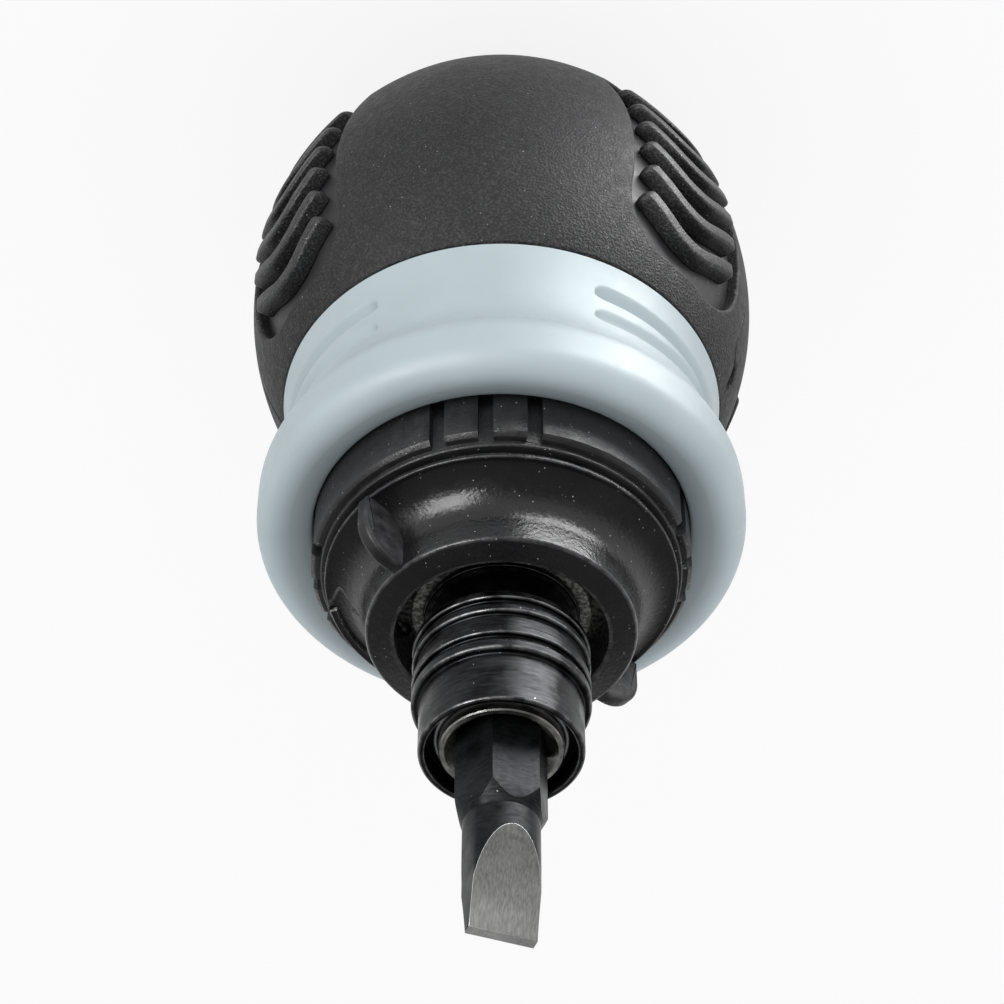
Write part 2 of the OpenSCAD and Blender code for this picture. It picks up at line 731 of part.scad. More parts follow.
// Flat bar with round ends between two points
module bar(from, to, half_w) {
    side = unit([-(to - from)[1], (to - from)[0]]) * half_w;
    translate(from) circle(r = half_w, $fn = 32);
    translate(to) circle(r = half_w, $fn = 32);
    polygon([from - side, to - side, to + side, from + side]);
}

// Solid pawl, engaged, on the +Y side
module pawl_solid() {
    translate([0, 0, pawl_bot_z]) linear_extrude(height = pawl_top_z - pawl_bot_z) pawl_outline();
}

// Turns its children about the forward pawl's pivot
module lifted(angle) {
    translate(pivot_at) rotate([0, 0, angle]) translate(-pivot_at) children();
}

// Pawl that carries the drive in the forward setting
module pawl_forward() {
    color([0.42, 0.42, 0.44]) pawl_solid();
}

// Pawl for reverse, held clear of the gear by the cam
module pawl_reverse() {
    color([0.42, 0.42, 0.44]) mirror([0, 1, 0]) lifted(pawl_lift) pawl_solid();
}

// Pin through the forward pawl
module pawl_pin_forward() {
    color([0.7, 0.7, 0.72]) pawl_pin(pivot_angle);
}

// Pin through the reverse pawl
module pawl_pin_reverse() {
    color([0.7, 0.7, 0.72]) pawl_pin(-pivot_angle);
}

// Straight pin seated half way into both plates
module pawl_pin(a) {
    bot_z = base_top_z - base_t / 2;
    rotate([0, 0, a]) translate([pivot_r, 0, bot_z])
        cylinder(h = plate_bot_z + plate_t / 2 - bot_z, r = pin_r, $fn = 32);
}

// Torsion spring coiled round the pin on top of the pawl
module pawl_spring() {
    coil_r = pin_r + 2 * pawl_spring_wire_r + small_play / 2;
    room = plate_bot_z - pawl_top_z - small_play;
    rise = room - 2 * pawl_spring_wire_r;
    leg = 2.2 * coil_r;
    turns = 2;
    translate([pivot_at[0], pivot_at[1], pawl_top_z + pawl_spring_wire_r])
        rotate([0, 0, pivot_angle])
            wire(concat([[coil_r, -leg, 0]], coil_path(coil_r, rise, turns)), pawl_spring_wire_r);
}

// Spring of the forward pawl
module pawl_spring_forward() {
    color([0.75, 0.76, 0.78]) pawl_spring();
}

// Spring of the reverse pawl
module pawl_spring_reverse() {
    color([0.75, 0.76, 0.78]) mirror([0, 1, 0]) lifted(pawl_lift) pawl_spring();
}

// Countersunk screw through the housing, the base plate and into the core
module housing_screw(a) {
    drive_r = screw_r * 0.55;
    head_top_z = plate_top_z - small_play;
    color([0.6, 0.6, 0.62]) rotate([0, 0, a]) translate([post_circle_r, 0, 0]) difference() {
        union() {
            translate([0, 0, screw_bot_z])
                cylinder(h = head_top_z - screw_bot_z, r = screw_r, $fn = 32);
            translate([0, 0, head_top_z - screw_head_h])
                cylinder(h = screw_head_h, r1 = screw_r, r2 = screw_head_r, $fn = 32);
        }
        translate([0, 0, plate_top_z - screw_head_h])
            cylinder(h = screw_head_h + over, r = drive_r, $fn = 6);
    }
}

// Screw beside the ball boss
module housing_screw_front() {
    housing_screw(0);
}

// Screw between the two cam ramps
module housing_screw_rear() {
    housing_screw(180);
}

// Selector ring: flat face, neck, cove, flared rim, skirt and two finger ears
module selector_ring() {
    color([0.08, 0.08, 0.09]) difference() {
        union() {
            rotate_extrude() selector_section();
            for (a = [ear_angle, ear_angle + 180]) facing(a) ear();
        }
        ball_track();
        for (k = [0 : 2]) cam_key(k, seat_fit);
    }
}

// Half section of the selector ring
module selector_section() {
    edge = 0.3;
    difference() {
        polygon([
            [cam_bore_r, joint_z],
            [skirt_r, joint_z],
            [skirt_r, selector_rear_z],
            [selector_rim_r, selector_rear_z],
            [selector_rim_r, selector_rear_z + rim_t + small_play],
            [selector_face_r + cove_r, selector_rear_z + rim_t + cove_r],
            [selector_face_r, selector_rear_z + rim_t + cove_r],
            [selector_face_r, selector_front_z - edge],
            [selector_face_r - edge, selector_front_z],
            [selector_hole_r + edge, selector_front_z],
            [selector_hole_r, selector_front_z - edge],
            [selector_hole_r, selector_front_z - hole_l],
            [web_inner_r, web_face_z],
            [cam_bore_r, web_face_z]]);
        translate([selector_face_r + cove_r, selector_rear_z + rim_t + cove_r]) circle(r = cove_r);
    }
}

// One finger ear, drawn towards +X
module ear() {
    top_z = selector_front_z - small_play;
    bed_z = selector_rear_z + rim_t - small_play;
    root_r = selector_face_r - hole_l / 2;
    step_r = cam_bore_r + small_play * 2;
    step_z = web_face_z + small_play * 2;
    corner = [ear_r - ear_corner_r, top_z - ear_corner_r];
    translate([0, ear_t / 2, 0]) rotate([90, 0, 0]) linear_extrude(height = ear_t) {
        polygon([
            [root_r, step_z],
            [step_r, step_z],
            [step_r, bed_z],
            [ear_r, bed_z],
            [ear_r, corner[1]],
            corner,
            [corner[0], top_z],
            [root_r, top_z]]);
        intersection() {
            translate(corner) circle(r = ear_corner_r);
            translate(corner) square(ear_corner_r + over);
        }
    }
}

// Track of the friction ball in the selector's web
module ball_track() {
    half_w = sel_ball_r * 0.75;
    track_d = sel_ball_out - end_play + small_play / 2;
    margin = asin(half_w / sel_ball_circle_r);
    translate([0, 0, web_face_z - over]) rotate([0, 0, sel_ball_angle - selector_throw - margin])
        rotate_extrude(angle = selector_throw + 2 * margin)
            translate([sel_ball_circle_r - half_w, 0]) square([2 * half_w, track_d + over]);
}

// Ring behind the selector whose two ramps lift the pawls' tails
module selector_cam() {
    h = joint_z - cam_bot_z;
    color([0.75, 0.72, 0.62]) {
        translate([0, 0, cam_bot_z]) linear_extrude(height = h) {
            difference() {
                circle(r = skirt_r);
                circle(r = cam_bore_r);
            }
            polygon(ramp_points(1));
            polygon(ramp_points(-1));
        }
        for (k = [0 : 2]) cam_key(k, 0);
    }
}

// Outline of one ramp: follows the tail's tip while the selector turns
function ramp_points(side) = let (
    steps = 10,
    lead = 0.08,
    back_r = cam_bore_r + cam_wall / 2,
    inner = [for (i = [0 : steps])
        let (turn = selector_throw * ((1 + 2 * lead) * i / steps - lead),
             lift = pawl_lift * (side > 0 ? turn : selector_throw - turn) / selector_throw,
             tip = tail_lifted(lift),
             a = side * atan2(tip[1], tip[0]) - turn)
        [norm(tip) + tail_tip_r + cam_play, a]])
    concat([for (p = inner) polar(min(p[0], cam_bore_r), p[1])],
        [for (i = [steps : -1 : 0]) polar(back_r, inner[i][1])]);

// Key that couples the cam ring to the selector ring
module cam_key(k, play) {
    low_z = joint_z - small_play;
    translate([0, 0, low_z]) linear_extrude(height = key_l + small_play + play)
        intersection() {
            difference() {
                circle(r = skirt_r - cam_wall / 4 + play);
                circle(r = cam_bore_r + cam_wall / 4 - play);
            }
            rotate([0, 0, k * 120]) sector(skirt_r * 2, -key_angle / 2 - play, key_angle / 2 + play);
        }
}

// Ball that rubs in the selector's track
module selector_ball() {
    color([0.75, 0.75, 0.77]) rotate([0, 0, sel_ball_angle])
        translate([sel_ball_circle_r, 0, sel_ball_z]) sphere(r = sel_ball_r, $fn = 32);
}

// Spring under the selector's ball
module selector_spring() {
    rise = sel_ball_z - sel_ball_r - sel_hole_bot_z - 2 * sel_wire_r - 2 * seat_fit;
    color([0.75, 0.76, 0.78]) rotate([0, 0, sel_ball_angle])
        translate([sel_ball_circle_r, 0, sel_hole_bot_z + sel_wire_r + seat_fit])
            wire(coil_path(sel_ball_r - 2 * sel_wire_r, rise, 4), sel_wire_r);
}

// Fixed black ring behind the selector, with short and long blocks round its edge
module lock_ring() {
    color([0.1, 0.1, 0.11]) difference() {
        rotate_extrude() polygon([
            [lock_bore_r, lock_bot_z],
            [lock_block_r, lock_bot_z],
            [lock_block_r, block_top_z - block_chamfer],
            [lock_block_r - block_chamfer, block_top_z],
            [lock_ledge_r, block_top_z],
            [lock_ledge_r, lock_front_z - small_play],
            [lock_ledge_r - small_play, lock_front_z],
            [lock_bore_r, lock_front_z]]);
        for (quarter = [0 : 3]) for (slot = [-1 : 1])
            facing(quarter * 90 + slot * (block_angle + slot_angle)) lock_slot();
    }
}

// One slot between two blocks, drawn towards +X
module lock_slot() {
    w = 2 * lock_block_r * sin(slot_angle / 2);
    translate([lock_ledge_r, -w / 2, block_root_z])
        cube([lock_block_r, w, lock_front_z - block_root_z + over]);
}

// Grey collar that keeps the hand off the selector
module guard_collar() {
    color([0.68, 0.74, 0.77]) difference() {
        rotate_extrude() collar_outline();
        for (side = [-1, 1]) for (z = finger_rows) finger_groove(side, z);
    }
}

// Section of the collar: flared rear, waist, fillet and round bulge
module collar_outline() {
    intersection() {
        union() {
            difference() {
                translate([collar_bore_r, grip_l])
                    square([tangent_r - collar_bore_r, tangent_z - grip_l]);
                translate([fillet_at_r, fillet_z]) circle(r = waist_fillet_r);
                intersection() {
                    translate([waist_r + flare_r, fillet_z]) circle(r = flare_r, $fn = 128);
                    translate([0, grip_l - over]) square([collar_r + over, fillet_z - grip_l + over]);
                }
            }
            translate([bulge_at_r, bulge_z]) circle(r = bulge_r);
            translate([collar_bore_r, tangent_z - small_play])
                square([bulge_at_r - collar_bore_r, bulge_z - tangent_z + small_play]);
        }
        translate([collar_bore_r, grip_l]) square([collar_r, collar_l + over]);
    }
}

// Round-ended groove along the side of the collar
module finger_groove(side, z) {
    at_r = waist_r + flare_r - sqrt(flare_r * flare_r - pow(fillet_z - z, 2));
    sink = finger_groove_w / 2 - finger_groove_d;
    from = side > 0 ? -90 - finger_to : -90 + finger_from;
    translate([0, 0, z]) {
        rotate([0, 0, from]) rotate_extrude(angle = finger_to - finger_from)
            translate([at_r + sink, 0]) circle(r = finger_groove_w / 2, $fn = 32);
        for (a = [finger_from, finger_to]) facing(side * a) translate([at_r - finger_groove_d, 0, 0])
            rotate([0, 90, 0]) cylinder(h = finger_groove_w + over, r = finger_groove_w / 2, $fn = 32);
    }
}

// Rigid core: spigot for the ratchet, flange, barrel under the rubber and magazine chamber
module handle_core() {
    color([0.05, 0.05, 0.055]) difference() {
        union() {
            rotate_extrude() barrel_section(shell_t + seat_fit, cap_h, grip_l);
            translate([0, 0, grip_l - small_play])
                cylinder(h = lock_bot_z - grip_l + small_play, r = core_r);
            translate([0, 0, lock_bot_z - small_play])
                cylinder(h = base_bot_z - lock_bot_z + small_play, r = base_r);
        }
        translate([0, 0, pocket_bot_z])
            cylinder(h = base_bot_z - pocket_bot_z + over, r = boss_r + seat_fit);
        translate([0, 0, cap_h - over])
            cylinder(h = chamber_top_z - cap_h + over, r = chamber_r);
        for (a = [0, 180]) rotate([0, 0, a]) translate([post_circle_r, 0, screw_bot_z - small_play])
            cylinder(h = base_bot_z - screw_bot_z + over, r = screw_r + seat_fit, $fn = 32);
    }
}

// Half section of the handle's barrel, set back by a depth between two heights
module barrel_section(depth, low, high) {
    intersection() {
        translate([-barrel_back, belly_z]) circle(r = barrel_r - depth, $fn = 160);
        translate([0, low]) square([grip_r + over, high - low]);
    }
}

// Rubber layer of the handle between the core and an outer height
module rubber_layer(proud) {
    rotate_extrude() difference() {
        barrel_section(-proud, cap_h, grip_l);
        barrel_section(shell_t, cap_h - over, grip_l + over);
    }
}

// Flat outline of a window, centred on the origin
module window_outline() {
    square([window_w, window_l - 2 * window_corner_r], center = true);
    square([window_w - 2 * window_corner_r, window_l], center = true);
    corner = [window_w / 2 - window_corner_r, window_l / 2 - window_corner_r];
    for (x = [-1, 1]) for (y = [-1, 1])
        translate([x * corner[0], y * corner[1]]) circle(r = window_corner_r);
}

// Extrudes a flat outline outwards through the rubber at a clock angle
module through_rubber(clock, z) {
    facing(clock) translate([chamber_r, 0, z]) rotate([90, 0, 90])
        linear_extrude(height = grip_r - chamber_r + over) children();
}

// Half of the rubber grip on the side of the given sign
module grip_shell(side) {
    middle = side < 0 ? 0 : 180;
    color([0.1, 0.1, 0.11]) difference() {
        intersection() {
            rubber_layer(0);
            translate([-2 * grip_r, side < 0 ? -2 * grip_r : seam_gap / 2, 0])
                cube([4 * grip_r, 2 * grip_r - seam_gap / 2, grip_l + over]);
        }
        for (a = [-1, 1]) through_rubber(middle + a * window_angle, window_mid_z) window_outline();
        facing(90) translate([barrel(notch_z), 0, notch_z]) pry_notch();
    }
}

// Pry notch on the seam
module pry_notch() {
    for (end = [-1, 1]) translate([-notch_r, 0, end * (notch_l / 2 - notch_r)]) rotate([0, 90, 0])
        cylinder(h = 2 * notch_r + over, r = notch_r, $fn = 32);
    translate([-notch_r, -notch_r, notch_r - notch_l / 2])
        cube([2 * notch_r + over, 2 * notch_r, notch_l - 2 * notch_r]);
}

// Upper half of the rubber grip
module grip_shell_upper() {
    grip_shell(-1);
}

// Lower half of the rubber grip
module grip_shell_lower() {
    grip_shell(1);
}

// Flat outline of one bent rib, its bend at the origin
module rib_outline() {
    half_w = rib_w / 2;
    translate([0, -rib_bend_r]) difference() {
        intersection() {
            circle(r = rib_bend_r + half_w);
            sector(rib_bend_r * 3, 90 - rib_slope, 90 + rib_slope);
        }
        circle(r = rib_bend_r - half_w);
    }
    for (side = [-1, 1]) {
        start = [side * rib_bend_r * sin(rib_slope), rib_bend_r * cos(rib_slope) - rib_bend_r];
        bar(start, start + rib_arm_l * [side * cos(rib_slope), -sin(rib_slope)], half_w);
    }
}

// The ribs of one window
module rib_set(clock) {
    color([0.1, 0.1, 0.11]) intersection() {
        rubber_layer(rib_proud);
        for (i = [0 : rib_count - 1]) through_rubber(clock, rib_top_z - i * rib_pitch) rib_outline();
    }
}

// Ribs of the window up and to the left of the photographed view
module ribs_upper_left() {
    rib_set(-window_angle);
}

// Ribs of the window up and to the right
module ribs_upper_right() {
    rib_set(window_angle);
}

// Ribs of the window down and to the left
module ribs_lower_left() {
    rib_set(180 + window_angle);
}

// Ribs of the window down and to the right
module ribs_lower_right() {
    rib_set(180 - window_angle);
}

// Domed end cap with a flat foot and a spigot for the seal
module end_cap() {
    stem_r = chamber_r - 2 * small_play;
    color([0.1, 0.1, 0.11]) difference() {
        union() {
            rotate_extrude() barrel_section(0, 0, cap_h - small_play);
            translate([0, 0, cap_h - 2 * small_play])
                cylinder(h = cap_stem_l + 2 * small_play, r = stem_r);
        }
        translate([0, 0, seal_z]) rotate_extrude() translate([seal_at_r, 0]) circle(r = seal_wire_r, $fn = 32);
    }
}

// Rubber ring round the cap's spigot
module cap_seal() {
    color([0.15, 0.15, 0.16])
        translate([0, 0, seal_z]) rotate_extrude() translate([seal_at_r, 0]) circle(r = seal_wire_r, $fn = 32);
}

// Bit magazine on the cap, with pockets that open outwards and upwards
module bit_magazine() {
    bot_z = cap_h + cap_stem_l;
    color([0.12, 0.12, 0.13]) difference() {
        translate([0, 0, bot_z]) cylinder(h = magazine_top_z - bot_z, r = magazine_r);
        for (i = [0 : spare_count - 1]) rotate([0, 0, i * 360 / spare_count])
            translate([store_r, 0, store_floor_z + cap_stem_l])
                cylinder(h = magazine_l, r = store_hole_r);
    }
}

// One spare bit in its pocket, with the given kind of point
module spare_bit(index, kind) {
    color([0.45, 0.45, 0.47]) rotate([0, 0, index * 360 / spare_count])
        translate([store_r, 0, store_floor_z + cap_stem_l + seat_fit]) spare_form(kind);
}

// Spare bit standing on its hex end
module spare_form(kind) {
    shank_share = 0.6;
    point_l = spare_l * 0.14;
    body_r = hex_af * 0.42;
    tip_r = hex_af * 0.1;
    side_w = 2 * body_r + 2 * over;
    side_h = point_l + over;
    difference() {
        intersection() {
            hex_bar(hex_af, spare_l);
            rotate_extrude() polygon([
                [0, 0],
                [hex_r - small_play * 4, 0],
                [hex_r, small_play * 4],
                [hex_r, spare_l * shank_share],
                [body_r, spare_l * shank_share + hex_r - body_r],
                [body_r, spare_l - point_l],
                [kind == 0 ? tip_r : body_r, spare_l],
                [0, spare_l]]);
        }
        if (kind == 0) for (q = [0 : 3]) rotate([0, 0, q * 90 + 45])
            translate([tip_r * 0.6, tip_r * 0.6, spare_l - point_l]) cube([body_r, body_r, side_h]);
        if (kind == 1) for (s = [0, 180]) rotate([0, 0, s])
            translate([blade_t / 2, -body_r - over, spare_l - point_l]) cube([body_r + over, side_w, side_h]);
        if (kind == 2) for (q = [0 : 3]) rotate([0, 0, q * 90])
            translate([body_r * 0.62, -body_r - over, spare_l - point_l]) cube([body_r + over, side_w, side_h]);
    }
}

driver_bit();
bit_holder();
socket_magnet();
detent_ball();
release_sleeve();
sleeve_spring();
sleeve_snap_ring();
ratchet_gear();
thrust_washer();
spindle_circlip();
gear_housing();
base_plate();
pawl_forward();
pawl_reverse();
pawl_pin_forward();
pawl_pin_reverse();
pawl_spring_forward();
pawl_spring_reverse();
housing_screw_front();
housing_screw_rear();
selector_ring();
selector_cam();
selector_ball();
selector_spring();
lock_ring();
guard_collar();
handle_core();
grip_shell_upper();
grip_shell_lower();
ribs_upper_left();
ribs_upper_right();
ribs_lower_left();
ribs_lower_right();
end_cap();
cap_seal();
bit_magazine();
spare_bit(0, 0);  // spare_bit_1
spare_bit(1, 1);  // spare_bit_2
spare_bit(2, 2);  // spare_bit_3
spare_bit(3, 0);  // spare_bit_4
spare_bit(4, 1);  // spare_bit_5
spare_bit(5, 2);  // spare_bit_6
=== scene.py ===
# Stubby ratcheting screwdriver, standing on its end cap with the bit upwards.
# Sizes are in millimetres, clock angles in degrees from the tool's upper side.
from math import asin, ceil, cos, degrees, exp, hypot, radians, sin, sqrt, tan

import bmesh
import bpy
from mathutils import Matrix, Vector
from mathutils.geometry import delaunay_2d_cdt


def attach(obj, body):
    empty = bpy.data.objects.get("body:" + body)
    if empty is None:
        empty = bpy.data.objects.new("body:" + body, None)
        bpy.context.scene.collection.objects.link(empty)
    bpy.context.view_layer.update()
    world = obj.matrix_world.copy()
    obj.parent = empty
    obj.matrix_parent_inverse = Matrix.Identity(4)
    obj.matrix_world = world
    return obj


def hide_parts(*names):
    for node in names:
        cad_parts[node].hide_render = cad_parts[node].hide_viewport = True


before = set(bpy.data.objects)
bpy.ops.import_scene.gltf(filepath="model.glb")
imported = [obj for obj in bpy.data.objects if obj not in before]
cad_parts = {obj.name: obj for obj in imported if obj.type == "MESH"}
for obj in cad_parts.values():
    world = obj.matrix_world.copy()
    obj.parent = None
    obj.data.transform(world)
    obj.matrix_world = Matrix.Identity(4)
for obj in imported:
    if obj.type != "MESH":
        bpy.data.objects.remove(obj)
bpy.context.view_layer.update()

# --- Camera ---
# A long lens, 21 cm in front of the sleeve, looking down on the bit. The tool was
# held tip forwards, so the camera hangs upside down over the standing tool.
CAMERA_AT = (-0.0127, -0.1573, 0.2138)
CAMERA_RIGHT = (-0.9968, 0.0802, 0.0)
CAMERA_UP = (-0.0582, -0.7231, -0.6884)
CAMERA_BACK = (-0.0552, -0.6862, 0.7254)
lens = bpy.data.cameras.new("camera")
lens.sensor_width = 36
lens.lens = 100.4
lens.clip_start = 0.01
camera = bpy.data.objects.new("camera", lens)
axes = zip(CAMERA_RIGHT, CAMERA_UP, CAMERA_BACK, CAMERA_AT)
camera.matrix_world = Matrix([*axes, (0, 0, 0, 1)])
bpy.context.scene.collection.objects.link(camera)
bpy.context.scene.camera = camera
bpy.context.scene.view_settings.view_transform = "Standard"

# --- Table and lamps ---
# A white laminate table under a pale dome with a darker crown. A soft key light and
# a reflector stand in front of the tool, and a light panel lies on the table.
MM = 0.001
TABLE_HALF = 3000


def node(tree, kind, inputs=(), family="ShaderNode", **settings):
    """A node with its settings, and its sockets set or linked."""
    made = tree.nodes.new(family + kind)
    for key, value in settings.items():
        setattr(made, key, value)
    for socket, value in dict(inputs).items():
        if isinstance(value, bpy.types.NodeSocket):
            tree.links.new(value, made.inputs[socket])
        else:
            made.inputs[socket].default_value = value
    return made


def seen_rays(tree):
    """1 for rays that show the background: straight, mirrored or refracted."""
    path = node(tree, "LightPath")
    straight = path.outputs["Is Camera Ray"]
    mirrored = path.outputs["Is Glossy Ray"]
    refracted = path.outputs["Is Transmission Ray"]
    both = node(tree, "Math", {0: straight, 1: mirrored}, operation="MAXIMUM")
    return node(tree, "Math", {0: both.outputs[0], 1: refracted}, operation="MAXIMUM").outputs[0]


def blank(name):
    """A new material, its node tree and its shader."""
    made = bpy.data.materials.new(name)
    made.use_nodes = True
    return made, made.node_tree, made.node_tree.nodes["Principled BSDF"]


def piece(name, corners, faces, finish, crease=32):
    """A closed mesh from corners in millimetres, smooth up to the crease angle.

    It keeps how sharply each point bends outwards, for the wear along its edges.
    """
    mesh = bpy.data.meshes.new(name)
    mesh.from_pydata([[c * MM for c in p] for p in corners], [], faces)
    solid = bmesh.new()
    solid.from_mesh(mesh)
    bmesh.ops.recalc_face_normals(solid, faces=solid.faces)
    bends = [0.0] * len(solid.verts)
    for edge in solid.edges:
        bend = edge.calc_face_angle_signed(0.0)
        for corner in edge.verts:
            bends[corner.index] = max(bends[corner.index], degrees(bend))
    solid.to_mesh(mesh)
    solid.free()
    mesh.attributes.new("edge_bend", "FLOAT", "POINT").data.foreach_set("value", bends)
    mesh.shade_smooth()
    mesh.set_sharp_from_angle(angle=radians(crease))
    mesh.materials.append(finish)
    made = bpy.data.objects.new(name, mesh)
    bpy.context.scene.collection.objects.link(made)
    return made


laminate, tree, board = blank("white_laminate")
board.inputs["Base Color"].default_value = (0.5, 0.5, 0.5, 1)
board.inputs["Roughness"].default_value = 0.9
board.inputs["Specular IOR Level"].default_value = 0
paper = node(tree, "BsdfDiffuse", {"Color": (0.2, 0.2, 0.2, 1)})
lift = node(tree, "Emission", {"Strength": 0.815})
white = node(tree, "AddShader", {0: paper.outputs[0], 1: lift.outputs[0]})
shown = node(tree, "MixShader", {0: seen_rays(tree), 1: board.outputs[0], 2: white.outputs[0]})
tree.links.new(shown.outputs[0], tree.nodes["Material Output"].inputs["Surface"])
ring = [(x * TABLE_HALF, y * TABLE_HALF, 0) for x, y in ((-1, -1), (1, -1), (1, 1), (-1, 1))]
table = piece("table", ring, [(0, 1, 2, 3)], laminate)

world = bpy.data.worlds.new("pale_dome")
world.use_nodes = True
bpy.context.scene.world = world
tree = world.node_tree
dome = tree.nodes["Background"]
skyward = node(tree, "SeparateXYZ", {0: node(tree, "TexCoord").outputs["Generated"]})
lighting = node(tree, "MapRange", {0: skyward.outputs[2], 1: 0.0, 2: 0.45, 3: 3.0, 4: 0.55})
mirrored = node(tree, "MapRange", {0: skyward.outputs[2], 1: 0.1, 2: 0.55, 3: 1.0, 4: 0.2})
strength = node(tree, "MapRange", {0: seen_rays(tree), 3: lighting.outputs[0], 4: mirrored.outputs[0]})
tree.links.new(strength.outputs[0], dome.inputs["Strength"])
dome.inputs["Color"].default_value = (1, 1, 1, 1)

LAMPS = {
    "key_light": ((-0.097, -0.689, 0.123), (-0.14, -0.99, 0.1), 0.6, 1.9, "diffuse"),
    "left_reflector": ((0.358, -0.552, 0.289), (0.36, -0.55, 0.24), 0.42, 5.6, "glossy"),
    "right_panel": ((-0.075, -0.06, 0.002), (0, 0, -1), 0.09, 0.28, "glossy"),
}
for name, (place, back, width, watts, kind) in LAMPS.items():
    light = bpy.data.lights.new(name, "AREA")
    light.size = width
    light.energy = watts
    lamp = bpy.data.objects.new(name, light)
    lamp.location = place
    lamp.rotation_euler = Vector(back).to_track_quat("Z", "Y").to_euler()
    lamp.visible_diffuse = kind == "diffuse"
    lamp.visible_glossy = kind == "glossy"
    bpy.context.scene.collection.objects.link(lamp)

# --- Handle core ---
# The rigid barrel that carries everything, moulded in satin black nylon. It shows
# only as the smooth floor of the four windows in the rubber, which is a skin on it.
BARREL_R = 27.5
BELLY_Z = 23.7
BARREL_BACK = 5.78
GRIP_TOP = 36.8
CAP_TOP = 5.2
SHELL_T = 1.08
CORE_DEPTH = 1.6
SKIN_FROM = 6.2
SKIN_L = 29.6
SKIN_ROWS = 40
SKIN_GAP = 0.02


def barrel(z):
    """Radius of the handle's barrel curve at a height."""
    return sqrt(BARREL_R**2 - (z - BELLY_Z) ** 2) - BARREL_BACK


def object_place(tree):
    """Object coordinates."""
    return node(tree, "TexCoord").outputs["Object"]


def noise(tree, grains_per_mm, detail=3.0, place=None):
    """Soft noise whose grain is given in grains to the millimetre."""
    place = place or object_place(tree)
    made = node(tree, "TexNoise", {"Vector": place, "Scale": grains_per_mm / MM, "Detail": detail})
    return made.outputs["Fac"]


def between(tree, value, low, high, start=0.35, stop=0.65):
    """A number that runs from low to high with a noise."""
    inputs = {0: value, 1: start, 2: stop, 3: low, 4: high}
    return node(tree, "MapRange", inputs).outputs[0]


def blended(tree, share, first, second):
    """A colour between two, each given plain or as a socket."""
    first, second = (c if isinstance(c, bpy.types.NodeSocket) else (*c, 1) for c in (first, second))
    return node(tree, "Mix", {0: share, 6: first, 7: second}, data_type="RGBA").outputs[2]


def times(tree, first, second):
    """The product of two numbers."""
    return node(tree, "Math", {0: first, 1: second}, operation="MULTIPLY").outputs[0]


def carve(tree, bsdf, height, depth):
    """Gives a shader the relief of a height from 0 to 1, so many millimetres deep."""
    bump = node(tree, "Bump", {"Height": height, "Strength": 1.0, "Distance": depth * MM})
    tree.links.new(bump.outputs[0], bsdf.inputs["Normal"])


def dusted(tree, surface, amount):
    """A colour with small pale specks of dust on it."""
    cells = node(tree, "TexVoronoi", {"Vector": object_place(tree), "Scale": 2.0 / MM})
    near = between(tree, cells.outputs["Distance"], 1, 0, 0.06, 0.12)
    lot = node(tree, "SeparateColor", {0: cells.outputs["Color"]}).outputs
    chosen = node(tree, "Math", {0: lot[0], 1: amount}, operation="LESS_THAN").outputs[0]
    fleck = times(tree, times(tree, near, chosen), lot[1])
    return blended(tree, fleck, surface, (0.5, 0.51, 0.51))


def worn(tree, surface, bare, amount):
    """A colour that is rubbed bare along the edges in patches."""
    bend = node(tree, "Attribute", attribute_name="edge_bend").outputs["Fac"]
    rubbed = between(tree, noise(tree, 1.1), 0.15, 1)
    share = times(tree, times(tree, between(tree, bend, 0, 1, 7, 20), rubbed), amount)
    return blended(tree, share, surface, bare)


def moulded(name, colour, patch, rough, grain, depth, specular=0.5, dust=0.0, patch_size=6.0,
            painted_sheen_tips=None, edge=None, edge_amount=0.6):
    """A moulded plastic or rubber with patchy colour, a grain, worn edges and dust; lighter grain tips, if
    given, are a painted sheen.
    """
    made, tree, bsdf = blank(name)
    patches = between(tree, noise(tree, 1 / patch_size), 0, 1)
    surface = blended(tree, patches, colour, patch)
    height = noise(tree, 1 / grain, 2.0)
    # Lighter colour on the grain's high points: a painted sheen where light catches the grain.
    if painted_sheen_tips:
        surface = blended(tree, between(tree, height, 0, 1, 0.48, 0.66), surface, painted_sheen_tips)
    if edge:
        surface = worn(tree, surface, edge, edge_amount)
    if dust:
        surface = dusted(tree, surface, dust)
    tree.links.new(surface, bsdf.inputs["Base Color"])
    tree.links.new(between(tree, noise(tree, 1.3), *rough), bsdf.inputs["Roughness"])
    bsdf.inputs["Specular IOR Level"].default_value = specular
    carve(tree, bsdf, height, depth)
    return made


def turned(name, outline, finish, steps=180, dent=None, crease=32):
    """A ring or a disc turned round the axis; dent moves single points."""
    corners, rows = [], []
    for r, z in outline:
        if r == 0:
            rows.append([len(corners)] * steps)
            corners.append((0, 0, z))
            continue
        rows.append(range(len(corners), len(corners) + steps))
        for i in range(steps):
            clock = 360 * i / steps
            at_r, at_z = dent(clock, r, z) if dent else (r, z)
            corners.append((-at_r * sin(radians(clock)), -at_r * cos(radians(clock)), at_z))
    faces = []
    for low, high in zip(rows, rows[1:] + rows[:1]):
        for i in range(steps):
            k = (i + 1) % steps
            face = list(dict.fromkeys((low[i], low[k], high[k], high[i])))
            if len(face) > 2:
                faces.append(face)
    return piece(name, corners, faces, finish, crease)


